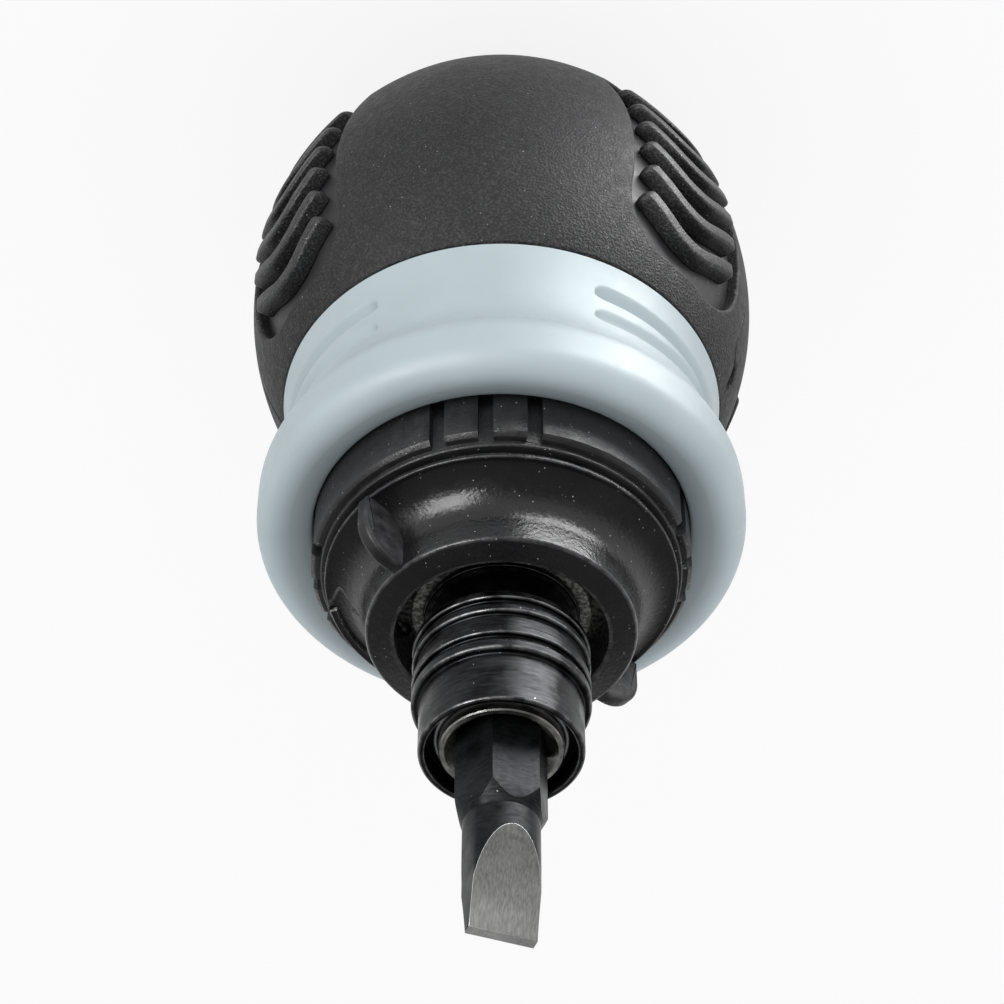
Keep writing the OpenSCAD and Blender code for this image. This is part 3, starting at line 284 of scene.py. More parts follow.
def eased(corners, steps=4):
    """An outline whose corners (r, z, radius) are rounded, with a close point beside each."""
    made = []
    for i, (r, z, bend) in enumerate(corners):
        here = Vector((r, z))
        if not bend:
            made.append((r, z))
            continue
        to_last = (Vector(corners[i - 1][:2]) - here).normalized()
        to_next = (Vector(corners[(i + 1) % len(corners)][:2]) - here).normalized()
        half = to_last.angle(to_next) / 2
        centre = here + (to_last + to_next).normalized() * (bend / sin(half))
        start = here + to_last * (bend / tan(half)) - centre
        stop = here + to_next * (bend / tan(half)) - centre
        turn = start.angle(stop)
        made.append(tuple(centre + start + to_last * 0.04))
        for k in range(steps + 1):
            share = k / steps
            spoke = (start * sin((1 - share) * turn) + stop * sin(share * turn)) / sin(turn)
            made.append(tuple(centre + spoke))
        made.append(tuple(centre + stop + to_next * 0.04))
    return made


def dense(outline, pitch):
    """An outline with points no further apart than the pitch."""
    made = []
    for a, b in zip(outline, outline[1:] + outline[:1]):
        count = max(1, ceil(hypot(b[0] - a[0], b[1] - a[1]) / pitch)) if a[0] or b[0] else 1
        for k in range(count):
            made.append(tuple(p + (q - p) * k / count for p, q in zip(a, b)))
    return made


core_satin = moulded("satin_core_nylon", (0.010, 0.010, 0.011), (0.014, 0.014, 0.016), (0.44, 0.54), 0.5,
                     0.003, specular=0.5, dust=0.1)
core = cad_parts["handle_core"]
core.data.materials.clear()
core.data.materials.append(core_satin)
skin_rows = [SKIN_FROM + SKIN_L * k / SKIN_ROWS for k in range(SKIN_ROWS + 1)]
skin_outline = [(barrel(z) - SHELL_T - SKIN_GAP, z) for z in skin_rows]
skin_outline += [(barrel(z) - CORE_DEPTH, z) for z in skin_rows[::-1]]
barrel_skin = turned("barrel_skin", skin_outline, core_satin, 240)
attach(barrel_skin, "handle")

# --- Rubber grip shells ---
# Two black rubber half shells over the barrel, meeting in a seam along each side.
# Each has two big rounded windows, a sandy texture and a small notch on one seam.
WINDOW_CLOCK = 55.6
WINDOW_W = 14.5
WINDOW_L = 25.2
WINDOW_MID = 21.0
WINDOW_CORNER = 5.0
WINDOW_STEPS = {"corner": 16, "across": 12, "along": 40}
LIP = 0.45
SEAM_EDGE = 0.18
SEAM_HALF = 0.1
SEAM_JOG = 7.5
SEAM_JOG_Z = 33.2
SEAM_JOG_STEEP = 2.5
SEAM_ROWS = 72
END_STEPS = 120
CAP_GAP = 0.06
COLLAR_GAP = 0.12
NOTCH_Z = 34.5
NOTCH_HALF = 1.0
NOTCH_DEPTH = 0.45
UNROLLED = 20.0


def rounded_window(grow):
    """Outline of a window grown by a distance, as (across, up)."""
    bend = WINDOW_CORNER + grow
    steps = WINDOW_STEPS["corner"]
    out = []
    for side, up, first in ((1, 1, 0), (-1, 1, 90), (-1, -1, 180), (1, -1, 270)):
        for k in range(steps + 1):
            turn = radians(first + 90 * k / steps)
            out.append((side * (WINDOW_W / 2 - WINDOW_CORNER) + bend * cos(turn),
                        up * (WINDOW_L / 2 - WINDOW_CORNER) + bend * sin(turn)))
    made = []
    for i, (a, b) in enumerate(zip(out, out[1:] + out[:1])):
        corner, place = divmod(i, steps + 1)
        count = WINDOW_STEPS[("across", "along")[corner % 2]] if place == steps else 1
        for k in range(count):
            made.append((a[0] + (b[0] - a[0]) * k / count, a[1] + (b[1] - a[1]) * k / count))
    return made


def window_ring(clock, grow, depth):
    """Points of a window's outline on the barrel, as (clock, z, depth)."""
    made = []
    for across, up in rounded_window(grow):
        z = WINDOW_MID + up
        made.append((clock + degrees(asin(across / (barrel(z) - depth))), z, depth))
    return made


def shell_ring(middle, inset, depth):
    """Outer edge of a half shell, as (clock, z, depth)."""
    low, high = CAP_TOP + CAP_GAP + inset, GRIP_TOP - COLLAR_GAP - inset
    upper = 1 if middle == 0 else -1

    def seam(z, side):
        gap = SEAM_HALF + inset
        jog = SEAM_JOG / (1 + exp((z - SEAM_JOG_Z) * SEAM_JOG_STEEP)) if side == upper else 0
        bite = max(0.0, 1 - ((z - NOTCH_Z) / NOTCH_HALF) ** 2) ** 0.35 * NOTCH_DEPTH
        notch = degrees(bite / barrel(z)) if side == upper else 0
        return side * (90 - degrees(gap / barrel(z)) - upper * jog - notch)

    made = []
    for start, stop, side in ((low, high, 1), (high, low, -1)):
        for k in range(SEAM_ROWS):
            z = start + (stop - start) * k / SEAM_ROWS
            made.append((middle + seam(z, side), z, depth))
        here, there = seam(stop, side), seam(stop, -side)
        for k in range(END_STEPS):
            made.append((middle + here + (there - here) * k / END_STEPS, stop, depth))
    return made


def on_barrel(clock, z, depth):
    """Point under the barrel's surface."""
    r = barrel(z) - depth
    return (-r * sin(radians(clock)), -r * cos(radians(clock)), z)


def inside(x, y, loop):
    """Whether a flat point lies inside a loop."""
    found = False
    for (ax, ay), (bx, by) in zip(loop, loop[1:] + loop[:1]):
        if (ay > y) != (by > y) and x < (bx - ax) * (y - ay) / (by - ay) + ax:
            found = not found
    return found


def skin(rings, pitch, corners):
    """Triangles that fill the outer ring around the windows; adds the points between."""
    flat = [[(radians(corners[i][3]) * UNROLLED, corners[i][2]) for i in ring] for ring in rings]
    points = [p for loop in flat for p in loop]
    edges, first = [], 0
    for loop in flat:
        edges += [(first + i, first + (i + 1) % len(loop)) for i in range(len(loop))]
        first += len(loop)
    owners = [i for ring in rings for i in ring]
    depth = corners[rings[0][0]][4]
    low_x, high_x = min(p[0] for p in flat[0]), max(p[0] for p in flat[0])
    low_y, high_y = min(p[1] for p in flat[0]), max(p[1] for p in flat[0])
    room = pitch * 0.55
    row = 0
    y = low_y + pitch
    while y < high_y - room:
        x = low_x + pitch * (0.75 + 0.5 * (row % 2))
        while x < high_x - room:
            clear = all(abs(x - p[0]) > room or abs(y - p[1]) > room for p in points[:first])
            if clear and not any(inside(x, y, loop) for loop in flat[1:]):
                points.append((x, y))
                owners.append(len(corners))
                clock = degrees(x / UNROLLED)
                corners.append((*on_barrel(clock, y, depth), clock, depth))
            x += pitch
        y += pitch * 0.87
        row += 1
    out = delaunay_2d_cdt([Vector(p) for p in points], edges, [], 0, 1e-7)
    faces = []
    for face in out[2]:
        x = sum(out[0][i][0] for i in face) / 3
        y = sum(out[0][i][1] for i in face) / 3
        if inside(x, y, flat[0]) and not any(inside(x, y, loop) for loop in flat[1:]):
            faces.append([owners[out[3][i][0]] for i in face])
    return faces


def grip_shell(name, middle, finish):
    """A half shell with rounded window lips and seam edges."""
    corners, faces = [], []

    def laid(ring):
        first = len(corners)
        for clock, z, depth in ring:
            corners.append((*on_barrel(clock, z, depth), clock, depth))
        return list(range(first, first + len(ring)))

    rounds = 5
    levels = []
    for k in range(rounds + 1):
        turn = radians(90 * k / rounds)
        levels.append((1 - sin(turn), 1 - cos(turn)))
    chains = [[shell_ring(middle, SEAM_EDGE * a, SEAM_EDGE * b) for a, b in levels]
              + [shell_ring(middle, 0, SHELL_T)]]
    for side in (-1, 1):
        clock = middle + side * WINDOW_CLOCK
        chains.append([window_ring(clock, LIP * a, LIP * b) for a, b in levels]
                      + [window_ring(clock, 0, SHELL_T)])
    laid_chains = [[laid(ring) for ring in chain] for chain in chains]
    for chain in laid_chains:
        for top, low in zip(chain, chain[1:]):
            for i in range(len(top)):
                k = (i + 1) % len(top)
                faces.append((top[i], top[k], low[k], low[i]))
    faces += skin([chain[0] for chain in laid_chains], 0.9, corners)
    faces += skin([chain[-1] for chain in laid_chains], 2.0, corners)
    return piece(name, [c[:3] for c in corners], faces, finish, 60)


# Its lighter grain tips are a painted sheen.
rubber = moulded("sandy_rubber", (0.007, 0.007, 0.008), (0.011, 0.011, 0.012), (0.48, 0.62), 0.2, 0.12,
                 specular=0.25, dust=0.25, painted_sheen_tips=(0.038, 0.038, 0.040))
for name, middle in (("grip_shell_upper", 0), ("grip_shell_lower", 180)):
    shell = grip_shell("rubber_" + name, middle, rubber)
    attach(shell, "handle")
    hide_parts(name)

# --- Grip ribs ---
# Six bent ribs stand in each window, moulded in the same rubber with a finer
# grain. Each is a bar with a flat top and rounded ends, bent in its middle.
RIB_SIZES = {
    "Ribs": 6,
    "Pitch": 3.25 * MM,
    "Width": 1.15 * MM,
    "Height": 1.52 * MM,
    "Proud": 0.38 * MM,
    "Edge": 0.27 * MM,
    "Top rib": 31.25 * MM,
    "End": 0.75 * MM,
    "Barrel radius": BARREL_R * MM,
    "Barrel back": BARREL_BACK * MM,
    "Belly": BELLY_Z * MM,
}
RIB_SLOPE = 29
RIB_BEND = 5.0
RIB_ARMS = (2.8, 3.5)
RIB_CLOCK = 54.6
RIB_TURN = -0.8


def rib_path(side):
    """Centreline of one rib as a curve; its long arm reaches to the seam of the shells."""
    slope = radians(RIB_SLOPE)
    right_arm, left_arm = (arm + 0.75 for arm in RIB_ARMS[::side])
    line = []
    for k in range(-12, 13):
        turn = slope * k / 12
        line.append((RIB_BEND * sin(turn), RIB_BEND * (cos(turn) - 1)))
    left, right = line[0], line[-1]
    line.insert(0, (left[0] - left_arm * cos(slope), left[1] - left_arm * sin(slope)))
    line.append((right[0] + right_arm * cos(slope), right[1] - right_arm * sin(slope)))
    curve = bpy.data.curves.new("rib_path", "CURVE")
    curve.dimensions = "3D"
    spline = curve.splines.new("POLY")
    spline.points.add(len(line) - 1)
    for point, (x, y) in zip(spline.points, line):
        point.co = (x * MM, y * MM, 0, 1)
    return curve


def rib_tree(sizes):
    """The node tree that repeats the rib down its window and lays it on the barrel."""
    tree = bpy.data.node_groups.new("rib_row", "GeometryNodeTree")
    tree.interface.new_socket("Path", in_out="INPUT", socket_type="NodeSocketGeometry")
    for key, value in sizes.items():
        kind = "NodeSocketInt" if isinstance(value, int) else "NodeSocketFloat"
        tree.interface.new_socket(key, in_out="INPUT", socket_type=kind).default_value = value
    tree.interface.new_socket("Clock", in_out="INPUT", socket_type="NodeSocketFloat")
    tree.interface.new_socket("Finish", in_out="INPUT", socket_type="NodeSocketMaterial")
    tree.interface.new_socket("Ribs", in_out="OUTPUT", socket_type="NodeSocketGeometry")
    given = tree.nodes.new("NodeGroupInput").outputs

    def add(kind, inputs=(), **settings):
        return node(tree, kind, inputs, "GeometryNode", **settings)

    def maths(operation, a, b=0.0):
        return node(tree, "Math", {0: a, 1: b}, operation=operation).outputs[0]

    fine = add("ResampleCurve", {"Curve": given["Path"], "Count": 130})
    along = add("SplineParameter").outputs["Length"]
    whole = add("SplineLength").outputs["Length"]
    far = maths("SUBTRACT", whole, along)
    left = maths("MINIMUM", along, far)
    near_end = maths("SUBTRACT", 1.0, maths("DIVIDE", left, given["End"]))
    share = maths("MAXIMUM", near_end, 0.0)
    taper = maths("SQRT", maths("MAXIMUM", maths("SUBTRACT", 1.0, maths("POWER", share, 2.6)), 0.02))
    full = add("SetCurveRadius", {"Curve": fine.outputs[0], "Radius": taper})
    block = add("CurvePrimitiveQuadrilateral", {"Width": given["Width"], "Height": given["Height"]})
    soft = add("FilletCurve", {"Curve": block.outputs[0], "Radius": given["Edge"],
                               "Count": 5, "Limit Radius": True}, mode="POLY")
    bar = add("CurveToMesh", {"Curve": full.outputs[0], "Profile Curve": soft.outputs[0],
                              "Fill Caps": True, "Scale": taper})
    step = node(tree, "CombineXYZ", {1: maths("MULTIPLY", given["Pitch"], -1.0)})
    row = add("MeshLine", {"Count": given["Ribs"], "Offset": step.outputs[0]})
    spread = add("InstanceOnPoints", {"Points": row.outputs[0], "Instance": bar.outputs[0]})
    real = add("RealizeInstances", {"Geometry": spread.outputs[0]})
    place = node(tree, "SeparateXYZ", {0: add("InputPosition").outputs[0]})
    z = maths("ADD", place.outputs[1], given["Top rib"])
    from_belly = maths("SUBTRACT", z, given["Belly"])
    reach = maths("SUBTRACT", maths("POWER", given["Barrel radius"], 2.0), maths("POWER", from_belly, 2.0))
    skin_r = maths("SUBTRACT", maths("SQRT", reach), given["Barrel back"])
    sink = maths("SUBTRACT", given["Proud"], maths("MULTIPLY", given["Height"], 0.5))
    r = maths("ADD", maths("ADD", skin_r, sink), place.outputs[2])
    across = place.outputs[0]
    out = maths("SQRT", maths("SUBTRACT", maths("POWER", r, 2.0), maths("POWER", across, 2.0)))
    turn = maths("RADIANS", given["Clock"])
    s, c = maths("SINE", turn), maths("COSINE", turn)
    x = maths("ADD", maths("MULTIPLY", maths("MULTIPLY", out, s), -1.0), maths("MULTIPLY", across, c))
    y = maths("SUBTRACT", maths("MULTIPLY", maths("MULTIPLY", out, c), -1.0), maths("MULTIPLY", across, s))
    laid = node(tree, "CombineXYZ", {0: x, 1: y, 2: z})
    moved = add("SetPosition", {"Geometry": real.outputs[0], "Position": laid.outputs[0]})
    smooth = add("SetShadeSmooth", {"Geometry": moved.outputs[0]})
    painted = add("SetMaterial", {"Geometry": smooth.outputs[0], "Material": given["Finish"]})
    result = tree.nodes.new("NodeGroupOutput")
    tree.links.new(painted.outputs[0], result.inputs[0])
    return tree


def grown(name, source, tree, values):
    """The plain mesh that a node tree makes from a source curve or mesh."""
    seed = bpy.data.objects.new(name + "_seed", source)
    bpy.context.scene.collection.objects.link(seed)
    modifier = seed.modifiers.new("tree", "NODES")
    modifier.node_group = tree
    for item in tree.interface.items_tree:
        if item.in_out == "INPUT" and item.name in values:
            modifier[item.identifier] = values[item.name]
    seed.update_tag()
    bpy.context.view_layer.update()
    evaluated = seed.evaluated_get(bpy.context.evaluated_depsgraph_get())
    mesh = bpy.data.meshes.new_from_object(evaluated)
    seed.modifiers.remove(modifier)
    bpy.data.objects.remove(seed)
    mesh.name = name
    solid = bmesh.new()
    solid.from_mesh(mesh)
    bmesh.ops.recalc_face_normals(solid, faces=solid.faces)
    solid.to_mesh(mesh)
    solid.free()
    made = bpy.data.objects.new(name, mesh)
    bpy.context.scene.collection.objects.link(made)
    return made


# Its lighter grain tips are partly dust and partly a painted sheen on the rib tops.
rib_rubber = moulded("rib_rubber", (0.007, 0.007, 0.008), (0.012, 0.012, 0.013), (0.4, 0.52), 0.17, 0.06,
                     specular=0.36, dust=0.3, painted_sheen_tips=(0.05, 0.05, 0.052))
rib_row = rib_tree(RIB_SIZES)
for node_name, middle, side in (("ribs_upper_left", 0, -1), ("ribs_upper_right", 0, 1),
                                ("ribs_lower_left", 180, 1), ("ribs_lower_right", 180, -1)):
    clock = middle + side * RIB_CLOCK + RIB_TURN
    values = {"Clock": clock, "Finish": rib_rubber}
    ribs = grown("rubber_" + node_name, rib_path(side), rib_row, values)
    ribs.data.set_sharp_from_angle(angle=radians(50))
    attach(ribs, "handle")
    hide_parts(node_name)

# --- Guard collar ---
# The blue-grey plastic collar that keeps the hand off the selector: a flared rear,
# a waist and a fat round lip. Two shallow finger grooves run round each side.
COLLAR_REAR = 36.85
COLLAR_REAR_R = 18.2
COLLAR_BORE = 15.24
WAIST_Z = 42.589
FLARE_AT, FLARE_R, FLARE_L = (38.34, WAIST_Z), 20.74, 5.739
FILLET_AT, FILLET_R = (24.47, WAIST_Z), 6.87
LIP_FOOT_AT, LIP_FOOT_R = (16.8, 48.8), 3.0
LIP_TOP_AT, LIP_TOP_R = (17.8, 50.7), 2.0
LIP_TURN = 39
LIP_INSIDE = [(15.6, 51.75), (15.35, 51.6)]
GROOVES = ((40.1, 0.0, 0.75), (42.7, 1.4, 0.55))
GROOVE_ENDS = (30, 84)
GROOVE_ROUND = 1.1
GROOVE_RISE = 1.15
GROOVE_WALL = 0.22
GROOVED_BELOW = 44
MM_PER_DEGREE = 0.31
MOULD_LINE = 92
MOULD_LINE_DEPTH = 0.06


def arc(centre, radius, start, stop, count):
    """Points (r, z) along an arc, angles in degrees from outwards to upwards."""
    turns = [radians(start + (stop - start) * k / count) for k in range(count + 1)]
    return [(centre[0] + radius * cos(t), centre[1] + radius * sin(t)) for t in turns]


def bump_step(value):
    """Smooth step from 0 to 1."""
    value = min(1.0, max(0.0, value))
    return value * value * (3 - 2 * value)


def finger_dent(clock, r, z):
    """Sinks the finger grooves and the faint mould lines into the collar.

    A groove falls away slowly from the rear and ends in a steep wall towards the tip.
    """
    side = abs((clock + 180) % 360 - 180)
    sink = 0.0
    if r > 16.9 and z < GROOVED_BELOW:
        for base, drop, deep in GROOVES:
            rise = z - base + drop * bump_step((side - GROOVE_ENDS[0]) / 60)
            past = max(GROOVE_ENDS[0] + 3 - side, side - GROOVE_ENDS[1] + 3, 0) * MM_PER_DEGREE
            room = sqrt(max(0.0, 1 - (past / GROOVE_ROUND) ** 2))
            if room and rise > -GROOVE_RISE * room:
                ramp = bump_step((rise + GROOVE_RISE * room) / (1.1 * room))
                wall = bump_step((0.05 + 0.5 * room - rise) / GROOVE_WALL)
                sink = max(sink, deep * ramp * wall * bump_step(room * 1.6))
    if r > 17.0 and z > GROOVED_BELOW:
        off_line = abs(side - MOULD_LINE) * MM_PER_DEGREE
        sink += MOULD_LINE_DEPTH * bump_step((0.2 - off_line) / 0.14)
    return r - sink, z


flare = arc(FLARE_AT, FLARE_R, 180 + degrees(asin(FLARE_L / FLARE_R)), 180, 72)
fillet = arc(FILLET_AT, FILLET_R, 180, 180 - LIP_TURN, 46)[1:]
lip = arc(LIP_FOOT_AT, LIP_FOOT_R, -LIP_TURN, 0, 10)[1:] + arc(LIP_TOP_AT, LIP_TOP_R, 0, 112, 26)
bore = LIP_INSIDE + [(COLLAR_BORE, 51.3), (COLLAR_BORE, COLLAR_REAR)]
back = [(COLLAR_REAR_R, COLLAR_REAR)]
collar_grey = moulded("blue_grey_plastic", (0.46, 0.54, 0.57), (0.425, 0.50, 0.53), (0.42, 0.55), 0.35,
                      0.006, specular=0.4, patch_size=9.0)
collar = turned("collar", back + flare + fillet + lip + bore, collar_grey, 600, finger_dent, 40)
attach(collar, "handle")
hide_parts("guard_collar")

# --- Lock ring ---
# The black ring that clamps the ratchet into the handle: blocks with bevelled
# feet around its rim, cut in four groups. Semi-gloss nylon with a fine spark grain.


def softened(name, source_name, width, finish, crease=24, merge=0.6, hard=True):
    """A merged copy of a CAD solid with its edges slightly rounded."""
    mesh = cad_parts[source_name].data.copy()
    mesh.name = name
    solid = bmesh.new()
    solid.from_mesh(mesh)
    bmesh.ops.remove_doubles(solid, verts=solid.verts, dist=2e-6)
    bmesh.ops.dissolve_limit(solid, angle_limit=radians(merge), verts=solid.verts, edges=solid.edges)
    bmesh.ops.recalc_face_normals(solid, faces=solid.faces)
    solid.to_mesh(mesh)
    solid.free()
    mesh.materials.clear()
    mesh.materials.append(finish)
    made = bpy.data.objects.new(name, mesh)
    bpy.context.scene.collection.objects.link(made)
    edges = made.modifiers.new("soft_edges", "BEVEL")
    edges.width = width * MM
    edges.segments = 2
    edges.limit_method = "ANGLE"
    edges.angle_limit = radians(crease)
    edges.use_clamp_overlap = True
    edges.harden_normals = hard
    mesh.shade_smooth()
    return made


def dress(finish, *names):
    """Gives CAD nodes a finish."""
    for name in names:
        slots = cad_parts[name].data.materials
        slots.clear()
        slots.append(finish)


lock_black = moulded("spark_grained_nylon", (0.008, 0.008, 0.009), (0.014, 0.014, 0.015), (0.34, 0.5), 0.22,
                     0.035, specular=0.45, dust=0.6, edge=(0.03, 0.03, 0.032))
lock = softened("lock_ring_blocks", "lock_ring", 0.09, lock_black)
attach(lock, "handle")
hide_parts("lock_ring")

# --- Selector ring ---
# The ring that sets forward, lock or reverse: a hollow cove between a thin rim and
# a flat web round the spindle, with an arrow sunk into the cove. Semi-gloss nylon.
COVE_CENTRE = (14.1, 60.6)
COVE_R = 3.45
ARROW_TIP = -85.5
ARROW_R = 12.85
ARROW_HEAD = (2.6, 1.25)
ARROW_SHAFT = (7.7, 0.6)
ARROW_DEPTH = 0.24


def arrow_dent(clock, r, z):
    """Sinks the curved arrow into the cove."""
    clock = (clock + 180) % 360 - 180
    along = radians(ARROW_TIP - clock) * ARROW_R
    if z > 60 or r < 11 or r > 14.02 or not -0.2 < along < ARROW_SHAFT[0] + 0.2:
        return r, z
    if along < ARROW_HEAD[0]:
        room = ARROW_HEAD[1] * along / ARROW_HEAD[0] - abs(r - ARROW_R)
    else:
        room = ARROW_SHAFT[1] - abs(r - ARROW_R)
        if abs(r - ARROW_R) > ARROW_SHAFT[1]:
            room = min(-0.01, ARROW_HEAD[0] - along)
    room = min(room, ARROW_SHAFT[0] - along)
    sink = ARROW_DEPTH * bump_step((room + 0.06) / 0.16)
    from_centre = Vector((r - COVE_CENTRE[0], z - COVE_CENTRE[1])).normalized() * sink
    return r + from_centre.x, z + from_centre.y


rim = eased([(12.56, 56.8, 0), (14.05, 56.8, 0.12), (14.05, 57.24, 0.12), (13.6, 57.19, 0)])
cove = arc(COVE_CENTRE, COVE_R, 261, 180, 48)
web = eased([(10.65, 60.7, 0), (10.65, 62.7, 0.32), (8.34, 63.2, 0.3), (8.34, 61.2, 0.2), (9.21, 57.45, 0),
             (11.46, 57.45, 0), (11.46, 55.65, 0.1), (12.56, 55.65, 0.1)])
selector_black = moulded("satin_nylon", (0.007, 0.007, 0.008), (0.011, 0.011, 0.012), (0.2, 0.3), 0.32, 0.03,
                         specular=0.4, dust=0.5, edge=(0.08, 0.08, 0.084), edge_amount=0.8)
selector = turned("selector_cove", dense(rim + cove + web, 0.28), selector_black, 640, arrow_dent, 40)
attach(selector, "selector")
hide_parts("selector_ring")

# --- Selector ears ---
# The two thumb ears moulded on the selector, each a thin fin with a round corner
# that stands across the cove from the web to the rim.
EAR_T = 1.2
EAR_SHIFT = -0.3
EAR_CLOCKS = (-45.1, 134.9)
EAR_EDGE = 0.3


def fin(name, outline, thickness, shift, edge, clock, finish):
    """A flat fin that stands out from the axis at a clock angle, with rounded edges."""
    flat_half = thickness / 2 - edge
    loops = []
    for k in range(6):
        turn = radians(90 * k / 5)
        for side in (-1, 1):
            loops.append((edge * (1 - cos(turn)), side * (flat_half + edge * sin(turn)) + shift))
    loops.sort(key=lambda loop: loop[1])
    normals = []
    for i in range(len(outline)):
        before, after = Vector(outline[i - 1]), Vector(outline[(i + 1) % len(outline)])
        along = (after - before).normalized()
        normals.append(Vector((along.y, -along.x)))
    c, s = cos(radians(clock)), sin(radians(clock))
    corners, faces = [], []
    for inset, across in loops:
        for point, normal in zip(outline, normals):
            r, z = Vector(point) - normal * inset
            corners.append((-r * s + across * c, -r * c - across * s, z))
    count = len(outline)
    for k in range(len(loops) - 1):
        for i in range(count):
            n = (i + 1) % count
            faces.append((k * count + i, k * count + n, (k + 1) * count + n, (k + 1) * count + i))
    faces.append(tuple(range(count)))
    faces.append(tuple(range((len(loops) - 1) * count, len(loops) * count)))
    return piece(name, corners, faces, finish, 50)


ear_black = moulded("ear_nylon", (0.007, 0.007, 0.008), (0.011, 0.011, 0.012), (0.4, 0.55), 0.32, 0.02,
                    specular=0.28, dust=0.4, edge=(0.06, 0.06, 0.063), edge_amount=0.8)
ear_corner = arc((11.05, 59.3), 3.3, 0, 90, 28)
ear_foot = [(10.0, 57.8), (12.0, 57.05), (14.2, 57.05), (14.35, 57.3)]
ear_outline = ear_foot + ear_corner + [(10.3, 62.6), (9.9, 62.4)]
for name, clock in zip(("selector_ear_front", "selector_ear_rear"), EAR_CLOCKS):
    ear = fin(name, ear_outline, EAR_T, EAR_SHIFT, EAR_EDGE, clock, ear_black)
    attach(ear, "selector")
    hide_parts("selector_ring")

# --- Ratchet housing ---
# The die-cast zinc housing around the spindle. Only its rough nose shows, deep in
# the selector's hole. Two black screws hold it down on the cast base plate.


def cast(name, dark, light, rough, grain, depth):
    """A rough die-cast metal, mottled and pitted."""
    made, tree, bsdf = blank(name)
    mottle = between(tree, noise(tree, 1 / grain, 6.0), 0, 1, 0.42, 0.6)
    tree.links.new(blended(tree, mottle, dark, light), bsdf.inputs["Base Color"])
    tree.links.new(between(tree, noise(tree, 2.0), *rough), bsdf.inputs["Roughness"])
    bsdf.inputs["Metallic"].default_value = 0.9
    carve(tree, bsdf, mottle, depth)
    return made


cast_zinc = cast("die_cast_zinc", (0.20, 0.20, 0.20), (0.70, 0.70, 0.68), (0.42, 0.6), 0.35, 0.02)
dress(cast_zinc, "gear_housing", "base_plate")

# --- Steel parts of the ratchet ---
# Gear, pawls, pins and washer of hardened steel, with rings left by the lathe;
# the circlip and the two screws are blackened, and the springs are drawn wire.
LATHE_STRETCH = 0.0008
GRIND_STRETCH = 0.06


def machined(name, dark, light, rough, marks, depth, around=True, edge=None, dust=0.0, patchy=1.0):
    """A machined metal with fine tool marks around or along the axis."""
    made, tree, bsdf = blank(name)
    place = object_place(tree)
    if around:
        parts = node(tree, "SeparateXYZ", {0: place})
        flat = node(tree, "CombineXYZ", {0: parts.outputs[0], 1: parts.outputs[1]})
        reach = node(tree, "VectorMath", {0: flat.outputs[0]}, operation="LENGTH")
        turn = node(tree, "Math", {0: parts.outputs[1], 1: parts.outputs[0]}, operation="ARCTAN2")
        swing = times(tree, turn.outputs[0], LATHE_STRETCH)
        rolled = {0: reach.outputs["Value"], 1: swing, 2: parts.outputs[2]}
        place = node(tree, "CombineXYZ", rolled).outputs[0]
    else:
        place = node(tree, "Mapping", {"Vector": place, "Scale": (1, 1, GRIND_STRETCH)}).outputs[0]
    streaks = noise(tree, marks, 4.0, place)
    patches = noise(tree, 0.5, 4.0)
    both = node(tree, "Math", {0: patches, 1: patchy, 2: streaks}, operation="MULTIPLY_ADD")
    middle = (1 + patchy) / 2
    share = between(tree, both.outputs[0], 0, 1, middle - 0.2, middle + 0.2)
    surface = blended(tree, share, dark, light)
    if edge:
        surface = worn(tree, surface, edge, 0.9)
    if dust:
        surface = dusted(tree, surface, dust)
    tree.links.new(surface, bsdf.inputs["Base Color"])
    tree.links.new(between(tree, patches, *rough), bsdf.inputs["Roughness"])
    bsdf.inputs["Metallic"].default_value = 1
    carve(tree, bsdf, streaks, depth)
    return made


hard_steel = machined("hardened_steel", (0.20, 0.20, 0.21), (0.36, 0.36, 0.37), (0.28, 0.42), 8.0, 0.004)
black_oxide = machined("black_oxide", (0.012, 0.012, 0.013), (0.03, 0.03, 0.032), (0.25, 0.4), 6.0, 0.004)
drawn_wire = machined("drawn_wire", (0.40, 0.41, 0.43), (0.55, 0.56, 0.58), (0.2, 0.32), 5.0, 0.002)
dress(hard_steel, "ratchet_gear", "thrust_washer", "pawl_forward", "pawl_reverse", "pawl_pin_forward",
      "pawl_pin_reverse", "detent_ball", "selector_ball", "socket_magnet")
dress(black_oxide, "spindle_circlip", "housing_screw_front", "housing_screw_rear")
dress(drawn_wire, "pawl_spring_forward", "pawl_spring_reverse", "selector_spring", "sleeve_spring",
      "sleeve_snap_ring")

# --- Selector cam ---
# The ring behind the selector whose ramps lift the pawls, of pale natural acetal.
acetal = moulded("natural_acetal", (0.60, 0.57, 0.48), (0.52, 0.49, 0.41), (0.35, 0.5), 0.4, 0.01,
                 specular=0.4)
dress(acetal, "selector_cam")

# --- Bit holder ---
# The spindle with its hex socket, turned from steel: blackened behind the sleeve,
# bright and a little pitted on the nose. A thin black ring lies round its neck.
NOSE_FROM = 73.0
holder_steel = machined("holder_steel", (0.30, 0.30, 0.29), (0.62, 0.61, 0.58), (0.25, 0.42), 7.0, 0.006)
tree = holder_steel.node_tree
bright = tree.nodes["Principled BSDF"].inputs["Base Color"].links[0].from_socket
height = node(tree, "SeparateXYZ", {0: object_place(tree)}).outputs[2]
nose = node(tree, "Math", {0: height, 1: NOSE_FROM * MM}, operation="GREATER_THAN").outputs[0]
tinted = blended(tree, nose, (0.014, 0.014, 0.015), bright)
tree.links.new(tinted, tree.nodes["Principled BSDF"].inputs["Base Color"])
dress(holder_steel, "bit_holder")
neck_black = machined("neck_ring_steel", (0.010, 0.010, 0.011), (0.02, 0.02, 0.021), (0.2, 0.3), 5.0, 0.003,
                      edge=(0.25, 0.25, 0.25))
ring_outline = eased([(5.53, 60.56, 0), (6.2, 60.56, 0.08), (6.2, 61.06, 0.12), (5.53, 61.06, 0)])
